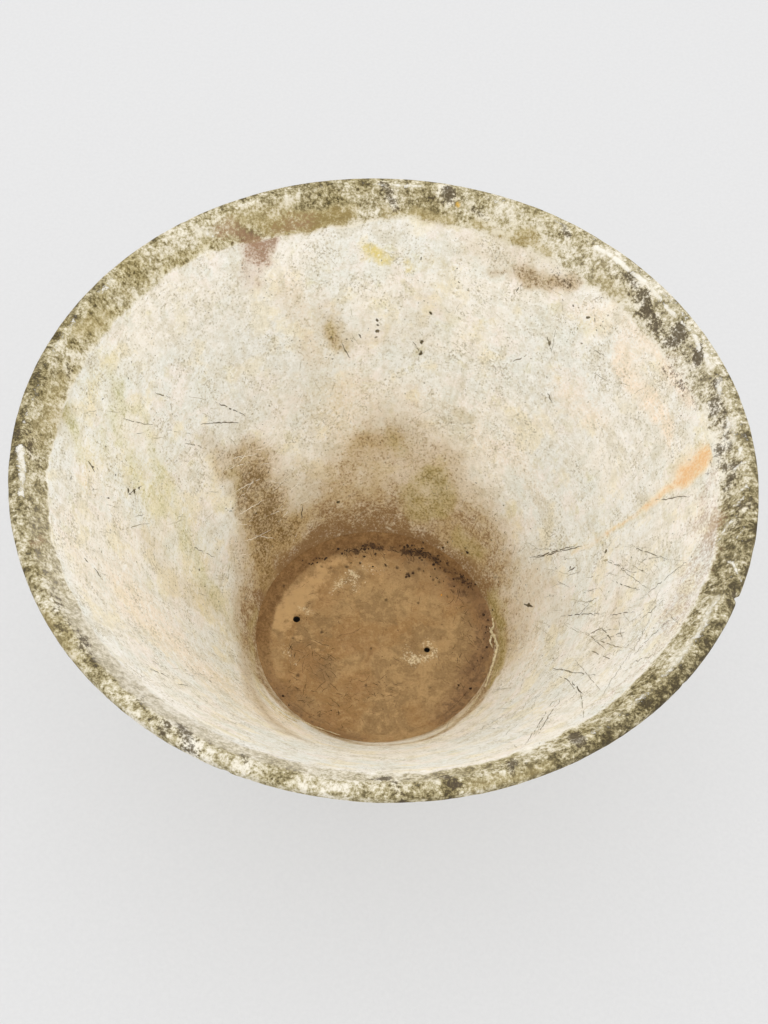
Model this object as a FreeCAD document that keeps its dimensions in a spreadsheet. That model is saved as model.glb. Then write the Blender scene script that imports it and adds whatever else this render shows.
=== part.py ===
import FreeCAD, Part
import math
import os
import Sketcher

# Cone planter of hand-moulded fibre cement: a conical wall, a collar folded over its top edge,
# a floor disc wedged in its foot, a bead in the inner corner and a crust of dried silt on the floor.
# Millimetres, +Z up. The origin is on the ground, on the planter's axis.

# Driving dimensions
SIZES = (
    ("rim_radius", 300.0, "axis to the outer edge of the rim"),
    ("overall_height", 334.0, "ground to the top of the rim"),
    ("lip_width", 10.5, "level top of the rim, measured across"),
    ("lip_edge", 8.0, "upright outer edge of the rim"),
    ("bevel_run", 18.5, "inner slope of the rim, measured level"),
    ("bevel_drop", 20.0, "inner slope of the rim, measured down"),
    ("skirt_drop", 48.0, "top of the rim down to the collar's lower edge"),
    ("lip_round", 3.5, "rounding of the rim's outer edge"),
    ("crest_round", 7.0, "rounding where the top turns into the inner slope"),
    ("edge_round", 7.0, "rounding where the outer edge turns under"),
    ("skirt_round", 4.0, "rounding of the collar's lower edge"),
    ("wall_thick", 10.0, "wall, measured square to its face"),
    ("foot_round", 3.0, "rounding of the wall's foot"),
    ("floor_radius", 109.0, "axis to the corner of floor and wall"),
    ("floor_thick", 14.0, "floor disc"),
    ("drain_radius", 4.0, "drain hole"),
    ("drain_left_across_share", 0.71, "left drain hole, towards -X, of floor_radius"),
    ("drain_left_along_share", 0.14, "left drain hole, towards +Y, of floor_radius"),
    ("drain_right_reach_share", 0.475, "right drain hole, from the axis, of floor_radius"),
    ("bead_leg", 12.0, "corner bead, from the corner along floor and wall"),
    ("bead_radius", 40.0, "hollow face of the corner bead"),
    ("silt_thick", 1.5, "crust of dried silt"),
    ("silt_clearance", 2.0, "silt washed away round each drain hole"),
    ("sharp_limit_share", 0.45, "largest rounding of a square corner, of the face beside it"),
    ("blunt_limit_share", 0.9, "largest rounding of a blunt corner, of the face beside it"),
)

document = FreeCAD.newDocument("cone_planter")
sheet = document.addObject("Spreadsheet::Sheet", "Sizes")
for row, (alias, number, meaning) in enumerate(SIZES, start=1):
    sheet.set(f"A{row}", meaning)
    sheet.set(f"B{row}", str(number))
    sheet.setAlias(f"B{row}", alias)
document.recompute()

# Places that several pieces share, as expressions of the sheet
CREASE_RADIUS = "Sizes.rim_radius - Sizes.lip_width - Sizes.bevel_run"
CREASE_HEIGHT = "Sizes.overall_height - Sizes.bevel_drop"
CREST_RADIUS = "Sizes.rim_radius - Sizes.lip_width"
BEAD_TOE = "Sizes.floor_radius - Sizes.bead_leg"
SKIRT_HEIGHT = "Sizes.overall_height - Sizes.skirt_drop"
DRAIN_LEFT_ACROSS = "Sizes.floor_radius * Sizes.drain_left_across_share"
DRAIN_LEFT_ALONG = "Sizes.floor_radius * Sizes.drain_left_along_share"
DRAIN_RIGHT_REACH = "Sizes.floor_radius * Sizes.drain_right_reach_share"


def size(expression):
    """The present value of an expression of the sheet."""
    return float(sheet.evalExpression(expression))


def section_points():
    """Corners of the planter's section as (radius, height), where its sketches start."""
    crease = FreeCAD.Vector(size(CREASE_RADIUS), size(CREASE_HEIGHT), 0)
    corner = FreeCAD.Vector(size("Sizes.floor_radius"), size("Sizes.floor_thick"), 0)
    rise = (crease - corner).normalize()
    outward = FreeCAD.Vector(rise.y, -rise.x, 0)
    run_per_rise = rise.x / rise.y
    wall_top = crease + outward * size("Sizes.wall_thick")
    skirt_height = size(SKIRT_HEIGHT)
    edge_foot = FreeCAD.Vector(size("Sizes.rim_radius"), size("Sizes.overall_height - Sizes.lip_edge"), 0)

    def along_wall(point, height):
        return FreeCAD.Vector(point.x + (height - point.y) * run_per_rise, height, 0)

    return {
        "crease": crease,
        "corner": corner,
        "wall_top": wall_top,
        "foot_inside": along_wall(crease, 0),
        "foot_outside": along_wall(wall_top, 0),
        "crest": FreeCAD.Vector(size(CREST_RADIUS), size("Sizes.overall_height"), 0),
        "lip_corner": FreeCAD.Vector(size("Sizes.rim_radius"), size("Sizes.overall_height"), 0),
        "edge_foot": edge_foot,
        "skirt_outside": along_wall(edge_foot, skirt_height),
        "skirt_inside": along_wall(wall_top, skirt_height),
        "bead_toe": FreeCAD.Vector(size(BEAD_TOE), corner.y, 0),
        "bead_top": corner + rise * size("Sizes.bead_leg"),
    }


POINTS = section_points()

# The sketcher's numbers for its own axes and for the points of a line, arc or circle
LEVEL_AXIS, UPRIGHT_AXIS = range(-1, -3, -1)
START, END, CENTRE = range(1, 4)
ORIGIN = (LEVEL_AXIS, START)


def new_body(label):
    body = document.addObject("PartDesign::Body", label)
    body.Label = label
    body.Placement = FreeCAD.Placement()
    return body


def new_sketch(body, name, role):
    """A sketch on one of the body's own origin planes."""
    sketch = body.newObject("Sketcher::SketchObject", name)
    plane = next(item for item in body.Origin.OriginFeatures if item.Role == role)
    sketch.AttachmentSupport = [(plane, "")]
    sketch.MapMode = "FlatFace"
    return sketch


def tie(sketch, kind, *where):
    return sketch.addConstraint(Sketcher.Constraint(kind, *where))


def dimension(sketch, kind, where, expression):
    """A dimension of the sketch, bound to the sheet."""
    number = sketch.addConstraint(Sketcher.Constraint(kind, *where, size(expression)))
    sketch.setExpression(f"Constraints[{number}]", expression)


def place(sketch, point, across, up):
    """Dimensions a point of the sketch from the sketch's origin."""
    dimension(sketch, "DistanceX", ORIGIN + point, across)
    dimension(sketch, "DistanceY", ORIGIN + point, up)


def line(sketch, start, end, construction=False):
    return sketch.addGeometry(Part.LineSegment(start, end), construction)


def outline(sketch, *corners):
    """A closed run of straight lines through the corners."""
    following = corners[1:] + corners[:1]
    lines = [line(sketch, start, end) for start, end in zip(corners, following)]
    for number, after in zip(lines, lines[1:] + lines[:1]):
        tie(sketch, "Coincident", number, END, after, START)
    return lines


def wall_line(sketch):
    """Construction line of the wall's inner face, from the floor's corner to the rim's crease."""
    face = line(sketch, POINTS["corner"], POINTS["crease"], construction=True)
    place(sketch, (face, START), "Sizes.floor_radius", "Sizes.floor_thick")
    place(sketch, (face, END), CREASE_RADIUS, CREASE_HEIGHT)
    return face


def revolve(body, sketch):
    """Turns the section once round the planter's axis."""
    turned = body.newObject("PartDesign::Revolution", sketch.Name + "_turned")
    turned.Profile = sketch
    turned.ReferenceAxis = (sketch, ["V_Axis"])
    turned.Angle = 360
    document.recompute()
    return turned


def ring_name(feature, point):
    """Name of the round edge nearest to a point of the section."""
    def miss(pair):
        box = pair[1].BoundBox
        return abs(box.XMax - point.x) + abs(box.ZMin - point.y)

    rings = [pair for pair in enumerate(feature.Shape.Edges, start=1) if pair[1].isClosed()]
    return f"Edge{min(rings, key=miss)[0]}"


def round_ring(body, feature, name, point, radius):
    """Rounds one ring edge of the body."""
    rounded = body.newObject("PartDesign::Fillet", name)
    rounded.Base = (feature, [ring_name(feature, point)])
    rounded.setExpression("Radius", radius)
    document.recompute()
    return rounded


def limited(radius, share, *faces):
    """A rounding that the faces beside it always have room for."""
    limits = [f"Sizes.{face} * Sizes.{share}" for face in faces]
    return f"min({'; '.join([f'Sizes.{radius}'] + limits)})"


def make_cone_wall():
    body = new_body("cone_wall")
    sketch = new_sketch(body, "wall_section", "XZ_Plane")
    face = wall_line(sketch)
    names = ("foot_inside", "foot_outside", "wall_top", "crease")
    foot, outside, top, inside = outline(sketch, *(POINTS[name] for name in names))
    tie(sketch, "Coincident", inside, START, face, END)
    tie(sketch, "PointOnObject", foot, START, face)
    tie(sketch, "PointOnObject", foot, START, LEVEL_AXIS)
    tie(sketch, "PointOnObject", foot, END, LEVEL_AXIS)
    tie(sketch, "Parallel", outside, face)
    tie(sketch, "Perpendicular", top, face)
    dimension(sketch, "Distance", (top, START, top, END), "Sizes.wall_thick")
    turned = revolve(body, sketch)
    radius = limited("foot_round", "sharp_limit_share", "wall_thick")
    round_ring(body, turned, "foot_rounded", POINTS["foot_outside"], radius)
    return body


def make_rim_collar():
    body = new_body("rim_collar")
    sketch = new_sketch(body, "collar_section", "XZ_Plane")
    face = wall_line(sketch)
    names = ("crease", "crest", "lip_corner", "edge_foot", "skirt_outside", "skirt_inside", "wall_top")
    bevel, top, edge, outside, hem, lap, seat = outline(sketch, *(POINTS[name] for name in names))
    tie(sketch, "Coincident", bevel, START, face, END)
    place(sketch, (top, START), CREST_RADIUS, "Sizes.overall_height")
    tie(sketch, "Horizontal", top)
    tie(sketch, "Vertical", edge)
    dimension(sketch, "DistanceX", ORIGIN + (top, END), "Sizes.rim_radius")
    dimension(sketch, "Distance", (edge, START, edge, END), "Sizes.lip_edge")
    tie(sketch, "Parallel", outside, face)
    tie(sketch, "Horizontal", hem)
    dimension(sketch, "DistanceY", ORIGIN + (hem, START), SKIRT_HEIGHT)
    tie(sketch, "Parallel", lap, face)
    tie(sketch, "Perpendicular", seat, face)
    dimension(sketch, "Distance", (seat, START, seat, END), "Sizes.wall_thick")
    feature = revolve(body, sketch)
    for name, point, radius in (
        ("crest_rounded", "crest", limited("crest_round", "blunt_limit_share", "lip_width")),
        ("lip_rounded", "lip_corner", limited("lip_round", "sharp_limit_share", "lip_width", "lip_edge")),
        ("edge_rounded", "edge_foot", limited("edge_round", "blunt_limit_share", "lip_edge")),
        ("hem_rounded", "skirt_outside", limited("skirt_round", "sharp_limit_share", "wall_thick")),
    ):
        feature = round_ring(body, feature, name, POINTS[point], radius)
    return body


def drain_sketch(body, name, radius):
    """Two circles on one line through the axis, where the drain holes are drilled."""
    sketch = new_sketch(body, name, "XY_Plane")
    left = FreeCAD.Vector(-size(DRAIN_LEFT_ACROSS), size(DRAIN_LEFT_ALONG), 0)
    right = left * (-size(DRAIN_RIGHT_REACH) / left.Length)
    spine = line(sketch, left, right, construction=True)
    tie(sketch, "PointOnObject", *ORIGIN, spine)
    dimension(sketch, "DistanceX", (spine, START) + ORIGIN, DRAIN_LEFT_ACROSS)
    dimension(sketch, "DistanceY", ORIGIN + (spine, START), DRAIN_LEFT_ALONG)
    dimension(sketch, "Distance", ORIGIN + (spine, END), DRAIN_RIGHT_REACH)
    for centre, end in ((left, START), (right, END)):
        circle = sketch.addGeometry(Part.Circle(centre, FreeCAD.Vector(0, 0, 1), size(radius)), False)
        tie(sketch, "Coincident", circle, CENTRE, spine, end)
        dimension(sketch, "Radius", (circle,), radius)
    return sketch


def drill(body, sketch):
    """Cuts the sketch's circles right through the body, upwards."""
    before = body.Shape.Volume
    holes = body.newObject("PartDesign::Pocket", sketch.Name + "_cut")
    holes.Profile = sketch
    holes.Type = "ThroughAll"
    holes.Reversed = True
    document.recompute()
    if not holes.Shape.Volume < before:
        raise RuntimeError(f"{holes.Name} cuts nothing")


def make_floor_disc():
    body = new_body("floor_disc")
    sketch = new_sketch(body, "floor_section", "XZ_Plane")
    face = wall_line(sketch)
    middle = FreeCAD.Vector(0, POINTS["corner"].y, 0)
    corners = (FreeCAD.Vector(), POINTS["foot_inside"], POINTS["corner"], middle)
    under, wedge, over, axis = outline(sketch, *corners)
    tie(sketch, "Coincident", under, START, *ORIGIN)
    tie(sketch, "PointOnObject", under, END, LEVEL_AXIS)
    tie(sketch, "PointOnObject", under, END, face)
    tie(sketch, "Coincident", wedge, END, face, START)
    tie(sketch, "Horizontal", over)
    tie(sketch, "Vertical", axis)
    revolve(body, sketch)
    drill(body, drain_sketch(body, "drain_holes", "Sizes.drain_radius"))
    return body


def make_corner_bead():
    body = new_body("corner_bead")
    sketch = new_sketch(body, "bead_section", "XZ_Plane")
    face = wall_line(sketch)
    toe, corner, top = POINTS["bead_toe"], POINTS["corner"], POINTS["bead_top"]
    flat = line(sketch, toe, corner)
    lean = line(sketch, corner, top)
    chord = top - toe
    inward = FreeCAD.Vector(-chord.y, chord.x, 0).normalize()
    reach = math.sqrt(size("Sizes.bead_radius") ** 2 - (chord.Length / 2) ** 2)
    centre = toe + chord / 2 + inward * reach
    circle = Part.Circle(centre, FreeCAD.Vector(0, 0, 1), size("Sizes.bead_radius"))
    arc = Part.ArcOfCircle(circle, circle.parameter(toe), circle.parameter(top))
    hollow = sketch.addGeometry(arc, False)
    tie(sketch, "Coincident", flat, START, hollow, START)
    tie(sketch, "Coincident", flat, END, lean, START)
    tie(sketch, "Coincident", lean, END, hollow, END)
    tie(sketch, "Coincident", flat, END, face, START)
    tie(sketch, "Horizontal", flat)
    tie(sketch, "PointOnObject", lean, END, face)
    dimension(sketch, "Distance", (flat, START, flat, END), "Sizes.bead_leg")
    tie(sketch, "Equal", flat, lean)
    dimension(sketch, "Radius", (hollow,), "Sizes.bead_radius")
    revolve(body, sketch)
    return body


def make_silt_crust():
    body = new_body("silt_crust")
    sketch = new_sketch(body, "silt_section", "XZ_Plane")
    bottom = size("Sizes.floor_thick")
    top = size("Sizes.floor_thick + Sizes.silt_thick")
    reach = size(BEAD_TOE)
    corners = ((0, bottom), (reach, bottom), (reach, top), (0, top))
    under, edge, over, axis = outline(sketch, *(FreeCAD.Vector(across, up, 0) for across, up in corners))
    place(sketch, (edge, START), BEAD_TOE, "Sizes.floor_thick")
    tie(sketch, "PointOnObject", under, START, UPRIGHT_AXIS)
    tie(sketch, "Horizontal", under)
    tie(sketch, "Vertical", edge)
    tie(sketch, "Horizontal", over)
    tie(sketch, "Vertical", axis)
    dimension(sketch, "Distance", (edge, START, edge, END), "Sizes.silt_thick")
    revolve(body, sketch)
    drill(body, drain_sketch(body, "silt_openings", "Sizes.drain_radius + Sizes.silt_clearance"))
    return body


def check(pieces):
    """Stops before anything is written if an object failed or a piece isn't one valid solid."""
    document.recompute()
    for item in document.Objects:
        if "Invalid" in item.State or "Error" in item.State:
            raise RuntimeError(f"{item.Name} failed: {item.State}")
    for piece in pieces:
        shape = piece.Shape
        if shape.isNull() or not shape.isValid() or len(shape.Solids) != 1:
            raise RuntimeError(f"{piece.Label} isn't one valid solid")


pieces = [
    make_cone_wall(),
    make_rim_collar(),
    make_floor_disc(),
    make_corner_bead(),
    make_silt_crust(),
]
check(pieces)
os.makedirs("parts", exist_ok=True)
for piece in pieces:
    piece.Shape.exportStep(f"parts/{piece.Label}.step")
    box = piece.Shape.optimalBoundingBox()
    print(f"{piece.Label}: radius {box.XMax:.2f}, height {box.ZMin:.2f} to {box.ZMax:.2f}")
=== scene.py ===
import math

import bpy
import numpy as np
from mathutils import Matrix, Vector
from mathutils.bvhtree import BVHTree


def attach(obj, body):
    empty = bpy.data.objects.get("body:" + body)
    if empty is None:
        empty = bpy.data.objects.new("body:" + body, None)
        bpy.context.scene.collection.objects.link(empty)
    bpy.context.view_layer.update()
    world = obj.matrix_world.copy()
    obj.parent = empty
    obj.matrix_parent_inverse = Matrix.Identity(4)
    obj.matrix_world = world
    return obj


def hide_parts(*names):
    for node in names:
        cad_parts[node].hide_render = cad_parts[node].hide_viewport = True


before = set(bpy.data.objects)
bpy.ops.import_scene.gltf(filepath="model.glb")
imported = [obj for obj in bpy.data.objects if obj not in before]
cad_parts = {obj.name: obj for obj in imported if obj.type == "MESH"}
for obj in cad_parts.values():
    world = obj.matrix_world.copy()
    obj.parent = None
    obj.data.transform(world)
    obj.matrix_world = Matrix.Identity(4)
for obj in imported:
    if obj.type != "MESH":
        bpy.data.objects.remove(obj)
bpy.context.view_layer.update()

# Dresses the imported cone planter: cement wall, lichened rim, silted floor, light and camera
scene = bpy.context.scene
MM = 1000

# Sizes of the moulding in metres, the same as in the CAD model; a pair is (distance from the axis, height)
RIM_RADIUS = 0.300
RIM_TOP = 0.334
CREASE = (0.2710, 0.3140)
CREST = (0.2895, 0.3340)
LIP_CORNER = (0.3000, 0.3340)
EDGE_FOOT = (0.3000, 0.3260)
SKIRT_OUTSIDE = (0.2784, 0.2860)
SKIRT_INSIDE = (0.26724, 0.2860)
WALL_TOP = (0.2798, 0.30925)
FOOT_INSIDE = (0.10144, 0.0)
FOOT_OUTSIDE = (0.11281, 0.0)
FLOOR_CORNER = (0.1090, 0.0140)
BEAD_TOE = (0.0970, 0.0140)
BEAD_TOP = (0.1147, 0.02456)
BEAD_CENTRE = (0.08605, 0.05247)
BEAD_RADIUS = 0.040
WALL_LEAN = 0.54
SILT_TOP = 0.0155
# Where the dressed wall ends against the collar, and where the collar's own edge lies on it
SEAM = (0.27029, 0.31268)
SEAM_EDGE = (0.27020, 0.31273)
# The drain holes' places, and how far each is still open through the silt, as radii
DRAINS = ((-0.07739, 0.01526), (0.050797, -0.010016))
SILT_OPENINGS = (0.0035, 0.0029)
DRAIN_SIDES = 40
# The crust of silt in the scene: its outer edge, its underside and how it laps on to the bead
SILT_EDGE = 0.1040
SILT_FOOT = 0.01402
SILT_LAP = 0.0003
SILT_LAP_THICK = 0.0008
# How many steps each piece goes round in, and the silt's rings
WALL_STEPS, RIM_STEPS, BEAD_STEPS, SILT_STEPS, SILT_RINGS = 480, 940, 560, 420, 92
BEAD_ROWS = 20
ROUNDING_STEP = 0.0011
SHARP_ANGLE = math.radians(50)
# The moulding's slow unevenness: depth, size, and the distance from the axis at which it is full
UNEVEN_DEPTH, UNEVEN_SIZE, UNEVEN_REACH = 0.0007, 0.17, 0.1
# The roughness of each surface, as (depth, size, octaves, seed)
WALL_RELIEF = ((0.00022, 0.012, 4, 11), (0.00035, 0.05, 2, 21))
RIM_RELIEF = ((0.0005, 0.0075, 3, 51), (0.0006, 0.03, 3, 61))
BEAD_RELIEF = ((0.0003, 0.006, 3, 91), (0.0005, 0.025, 2, 95))
SILT_RELIEF = ((0.00028, 0.006, 3, 101), (0.0004, 0.03, 2, 111))
# Where it fades out: the length at the seam, the heights at the wall's foot, the length at the silt's edge
SEAM_FADE, FOOT_FADE, SILT_FADE = 0.006, (0.012, 0.030), 0.004
# How far painted edges wander, as (depth, size, seed)
RAGGED_STEPS = ((0.0045, 0.022, 200), (0.0030, 0.009, 210), (0.0018, 0.004, 220))

# The photograph's camera, found from its ellipses, in the photograph's pixels
PHOTO_SIZE = (768, 1024)
FOCAL_PIXELS = 1600.0
CAMERA_ELEVATION = math.radians(57.1)
CAMERA_ROLL = math.radians(3.38)
CAMERA_REACH = 4.29 * RIM_RADIUS
RIM_CENTRE = Vector((0.0, 0.0, 0.3305))
RIM_CENTRE_PIXEL = (385.7, 451.0)
SENSOR_WIDTH = 36.0
NEAR_CLIP = 0.02
# The outer edge of the rim in the photograph is nearly an ellipse: middle, half width and height, tilt
RIM_ELLIPSE = (382.27, 490.15, 375.83, 310.77, math.radians(3.4))


def camera_axes():
    """The camera's right, up and back directions, with its roll."""
    back = Vector((0.0, -math.cos(CAMERA_ELEVATION), math.sin(CAMERA_ELEVATION)))
    level = Vector((1.0, 0.0, 0.0))
    rise = back.cross(level)
    right = level * math.cos(CAMERA_ROLL) + rise * math.sin(CAMERA_ROLL)
    return right, back.cross(right), back


def pixel_slopes(x, y):
    """How far a pixel of the photograph lies right of and above the optical axis, per metre along it."""
    return (x - PHOTO_SIZE[0] / 2) / FOCAL_PIXELS, (PHOTO_SIZE[1] / 2 - y) / FOCAL_PIXELS


RIGHT, UP, BACK = camera_axes()
across, above = pixel_slopes(*RIM_CENTRE_PIXEL)
CAMERA_PLACE = RIM_CENTRE - CAMERA_REACH * (across * RIGHT + above * UP - BACK)


def add_camera():
    data = bpy.data.cameras.new("photo_camera")
    data.sensor_width = SENSOR_WIDTH
    data.lens = FOCAL_PIXELS * SENSOR_WIDTH / max(PHOTO_SIZE)
    data.clip_start = NEAR_CLIP
    camera = bpy.data.objects.new("photo_camera", data)
    turn = Matrix((RIGHT, UP, BACK)).transposed().to_4x4()
    camera.matrix_world = Matrix.Translation(CAMERA_PLACE) @ turn
    scene.collection.objects.link(camera)
    scene.camera = camera


# Marks of the photograph are put on the model by casting a ray from the camera at the CAD solids
def cad_surface():
    corners, faces = [], []
    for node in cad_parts.values():
        start = len(corners)
        corners += [node.matrix_world @ vertex.co for vertex in node.data.vertices]
        faces += [[start + index for index in face.vertices] for face in node.data.polygons]
    return BVHTree.FromPolygons(corners, faces)


def photo_point(x, y):
    """The point of the moulding that shows at a pixel of the photograph."""
    across, above = pixel_slopes(x, y)
    direction = (across * RIGHT + above * UP - BACK).normalized()
    place = SOLIDS.ray_cast(CAMERA_PLACE, direction)[0]
    if place is None:
        raise ValueError(f"pixel {x}, {y} misses the planter")
    return np.array(place)


SOLIDS = cad_surface()


def rim_pixel(angle, depth):
    """The pixel at an angle round the rim, clockwise from the right, and some pixels in from its edge."""
    x, y, wide, tall, tilt = RIM_ELLIPSE
    turn = math.radians(angle)
    lean = Vector((math.cos(turn) / wide, math.sin(turn) / tall)).normalized()
    across = wide * math.cos(turn) - depth * lean.x
    down = tall * math.sin(turn) - depth * lean.y
    return (x + across * math.cos(tilt) - down * math.sin(tilt),
            y + across * math.sin(tilt) + down * math.cos(tilt))


def rim_angle(points):
    """The angle of each point round the rim as the photograph shows it."""
    offset = points - np.array(CAMERA_PLACE)
    away = -offset @ np.array(BACK)
    x, y, wide, tall, tilt = RIM_ELLIPSE
    right = PHOTO_SIZE[0] / 2 + FOCAL_PIXELS * (offset @ np.array(RIGHT)) / away - x
    down = PHOTO_SIZE[1] / 2 - FOCAL_PIXELS * (offset @ np.array(UP)) / away - y
    across = right * math.cos(tilt) + down * math.sin(tilt)
    below = down * math.cos(tilt) - right * math.sin(tilt)
    return np.degrees(np.arctan2(below / tall, across / wide)) % 360


# Smooth noise that is the same on every run
def lattice(ix, iy, iz, seed):
    """A fixed number from -1 to 1 for each corner of a lattice."""
    mixed = (ix * 374761393 + iy * 668265263 + iz * 1440662683 + seed * 1013904223) & 0xFFFFFFFF
    mixed = ((mixed ^ (mixed >> 13)) * 1274126177) & 0xFFFFFFFF
    mixed = ((mixed ^ (mixed >> 15)) * 2246822519) & 0xFFFFFFFF
    return ((mixed ^ (mixed >> 16)) & 0xFFFFFF) / 0x7FFFFF - 1.0


def smooth_noise(points, size, seed):
    """Noise from -1 to 1 whose lumps are about one size across."""
    scaled = points / size + seed * 7.31
    base = np.floor(scaled).astype(np.int64)
    part = scaled - base
    ease = part * part * part * (part * (part * 6.0 - 15.0) + 10.0)
    total = np.zeros(len(points))
    for dx, dy, dz in np.ndindex(2, 2, 2):
        weight = np.abs(1 - dx - ease[:, 0]) * np.abs(1 - dy - ease[:, 1]) * np.abs(1 - dz - ease[:, 2])
        total += weight * lattice(base[:, 0] + dx, base[:, 1] + dy, base[:, 2] + dz, seed)
    return total


def rough_noise(points, size, octaves, seed):
    """Several sizes of noise added up, each half as large and half as strong as the last."""
    total = np.zeros(len(points))
    for step in range(octaves):
        total += smooth_noise(points, size / 2 ** step, seed + step) / 2 ** step
    return total


def layered_noise(points, rows):
    """Noises added up, as (depth, size, octaves, seed) rows."""
    return sum(depth * rough_noise(points, size, octaves, seed) for depth, size, octaves, seed in rows)


def ease_between(low, high, value):
    """0 below low, 1 above high, and a smooth change between them; high may be the smaller."""
    part = np.clip((value - low) / (high - low), 0.0, 1.0)
    return part * part * (3.0 - 2.0 * part)


# Round pieces are turned from a closed section
def spaced(start, end, first, last):
    """Points from start up to, not including, end, whose spacing goes from first to last."""
    start, end = np.array(start), np.array(end)
    length = np.linalg.norm(end - start)
    count = max(1, round(2 * length / (first + last)))
    even = np.arange(count) / count
    bend = (last - first) / (last + first)
    return start + np.outer(even * (1 - bend) + bend * even * even, end - start)


def section(corners):
    """A closed section from (point, rounding, spacing after it, spacing before the next) rows."""
    rows = []
    for index, (point, rounding, _, _) in enumerate(corners):
        point = np.array(point)
        before = np.array(corners[index - 1][0]) - point
        after = np.array(corners[(index + 1) % len(corners)][0]) - point
        before /= np.linalg.norm(before)
        after /= np.linalg.norm(after)
        half_angle = math.acos(np.clip(before @ after, -1, 1)) / 2
        cut = rounding / math.tan(half_angle)
        rows.append((point + before * cut, point, point + after * cut))
    points = []
    for index, (enter, point, leave) in enumerate(rows):
        _, rounding, first, last = corners[index]
        steps = max(1, math.ceil(np.linalg.norm(leave - enter) / ROUNDING_STEP)) if rounding else 0
        for step in range(steps):
            t = step / steps
            points.append((1 - t) ** 2 * enter + 2 * t * (1 - t) * point + t * t * leave)
        points += list(spaced(leave, rows[(index + 1) % len(rows)][0], first, last))
    return np.array(points)


def section_normals(points):
    along = np.roll(points, -1, axis=0) - np.roll(points, 1, axis=0)
    along /= np.linalg.norm(along, axis=1)[:, None]
    return np.stack([along[:, 1], -along[:, 0]], axis=1)


class Turning:
    """A ring turned from a closed section: its grid of points, their normals and its mesh."""

    def __init__(self, points, segments):
        self.rows, self.segments = len(points), segments
        self.section = points
        angle = np.arange(segments) * 2 * math.pi / segments
        self.cos, self.sin = np.cos(angle), np.sin(angle)
        self.points = self.spin(points)
        self.normals = self.spin(section_normals(points))

    def spin(self, flat):
        x = np.outer(flat[:, 0], self.cos)
        y = np.outer(flat[:, 0], self.sin)
        z = np.repeat(flat[:, 1], self.segments).reshape(x.shape)
        return np.stack([x, y, z], axis=2).reshape(-1, 3)

    def per_row(self, values):
        """One value for each row of the section, spread over the ring."""
        return np.repeat(values, self.segments)

    def faces(self):
        row = np.arange(self.rows)[:, None] * self.segments
        next_row = np.roll(row, -1, axis=0)
        column = np.arange(self.segments)[None, :]
        next_column = np.roll(column, -1, axis=1)
        quads = np.stack([row + column, row + next_column, next_row + next_column, next_row + column], axis=2)
        return quads.reshape(-1, 4)


def add_piece(name, points, faces, material, masks):
    """A smooth mesh piece that rides on the planter, with its painted masks as point attributes."""
    mesh = bpy.data.meshes.new(name)
    mesh.from_pydata(points.tolist(), [], faces.tolist() if hasattr(faces, "tolist") else faces)
    for channel, values in masks.items():
        layer = mesh.attributes.new(channel, "FLOAT", "POINT")
        layer.data.foreach_set("value", values.astype(np.float32))
    mesh.shade_smooth()
    mesh.set_sharp_from_angle(angle=SHARP_ANGLE)
    mesh.materials.append(material)
    piece = bpy.data.objects.new(name, mesh)
    scene.collection.objects.link(piece)
    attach(piece, "root")
    return piece


def hand_made(points):
    """The moulding's slow unevenness: every piece is moved by it alike, so that they still meet."""
    across = np.hypot(points[:, 0], points[:, 1])[:, None]
    outward = points * (1.0, 1.0, 0.0) / np.maximum(across, 1e-6)
    fade = np.clip(across / UNEVEN_REACH, 0, 1)
    return points + outward * fade * UNEVEN_DEPTH * smooth_noise(points, UNEVEN_SIZE, 3)[:, None]


# Painted masks: each stroke is a line of the photograph's pixels
def pairs(numbers):
    return list(zip(numbers[::2], numbers[1::2]))


def path_distance(points, path):
    """The distance in metres from each point to a line through the photograph's pixels."""
    knots = [photo_point(*pixel) for pixel in path]
    if len(knots) == 1:
        return np.linalg.norm(points - knots[0], axis=1)
    nearest = np.full(len(points), 9.0)
    for start, end in zip(knots, knots[1:]):
        line = end - start
        share = np.clip((points - start) @ line / (line @ line), 0, 1)
        nearest = np.minimum(nearest, np.linalg.norm(points - start - share[:, None] * line, axis=1))
    return nearest


def ragged(points):
    """Points moved about a little, so that what is painted by their distance gets an uneven edge."""
    moved = points.copy()
    for axis in range(3):
        for depth, size, seed in RAGGED_STEPS:
            moved[:, axis] += depth * smooth_noise(points, size, seed + axis)
    return moved


def calmed(uneven, points, share):
    """Ragged points brought back part of the way, so that a share of their unevenness is left."""
    return uneven * share + points * (1 - share)


def painted(points, strokes):
    """Strokes laid over each other; a stroke is (reach mm, soft mm, strength, x, y, x, y and so on)."""
    bare = np.ones(len(points))
    for reach, soft, strength, *path in strokes:
        away = path_distance(points, pairs(path)) * MM
        bare *= 1 - strength * ease_between(reach + soft, reach - soft, away)
    return 1 - bare


MATT_SPECULAR = 0.25


def linear(red, green, blue):
    """A colour given as it shows on screen, from 0 to 255, as the shader wants it."""
    shares = np.array((red, green, blue)) / 255
    values = np.where(shares <= 0.04045, shares / 12.92, ((shares + 0.055) / 1.055) ** 2.4)
    return (*values.tolist(), 1.0)


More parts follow.
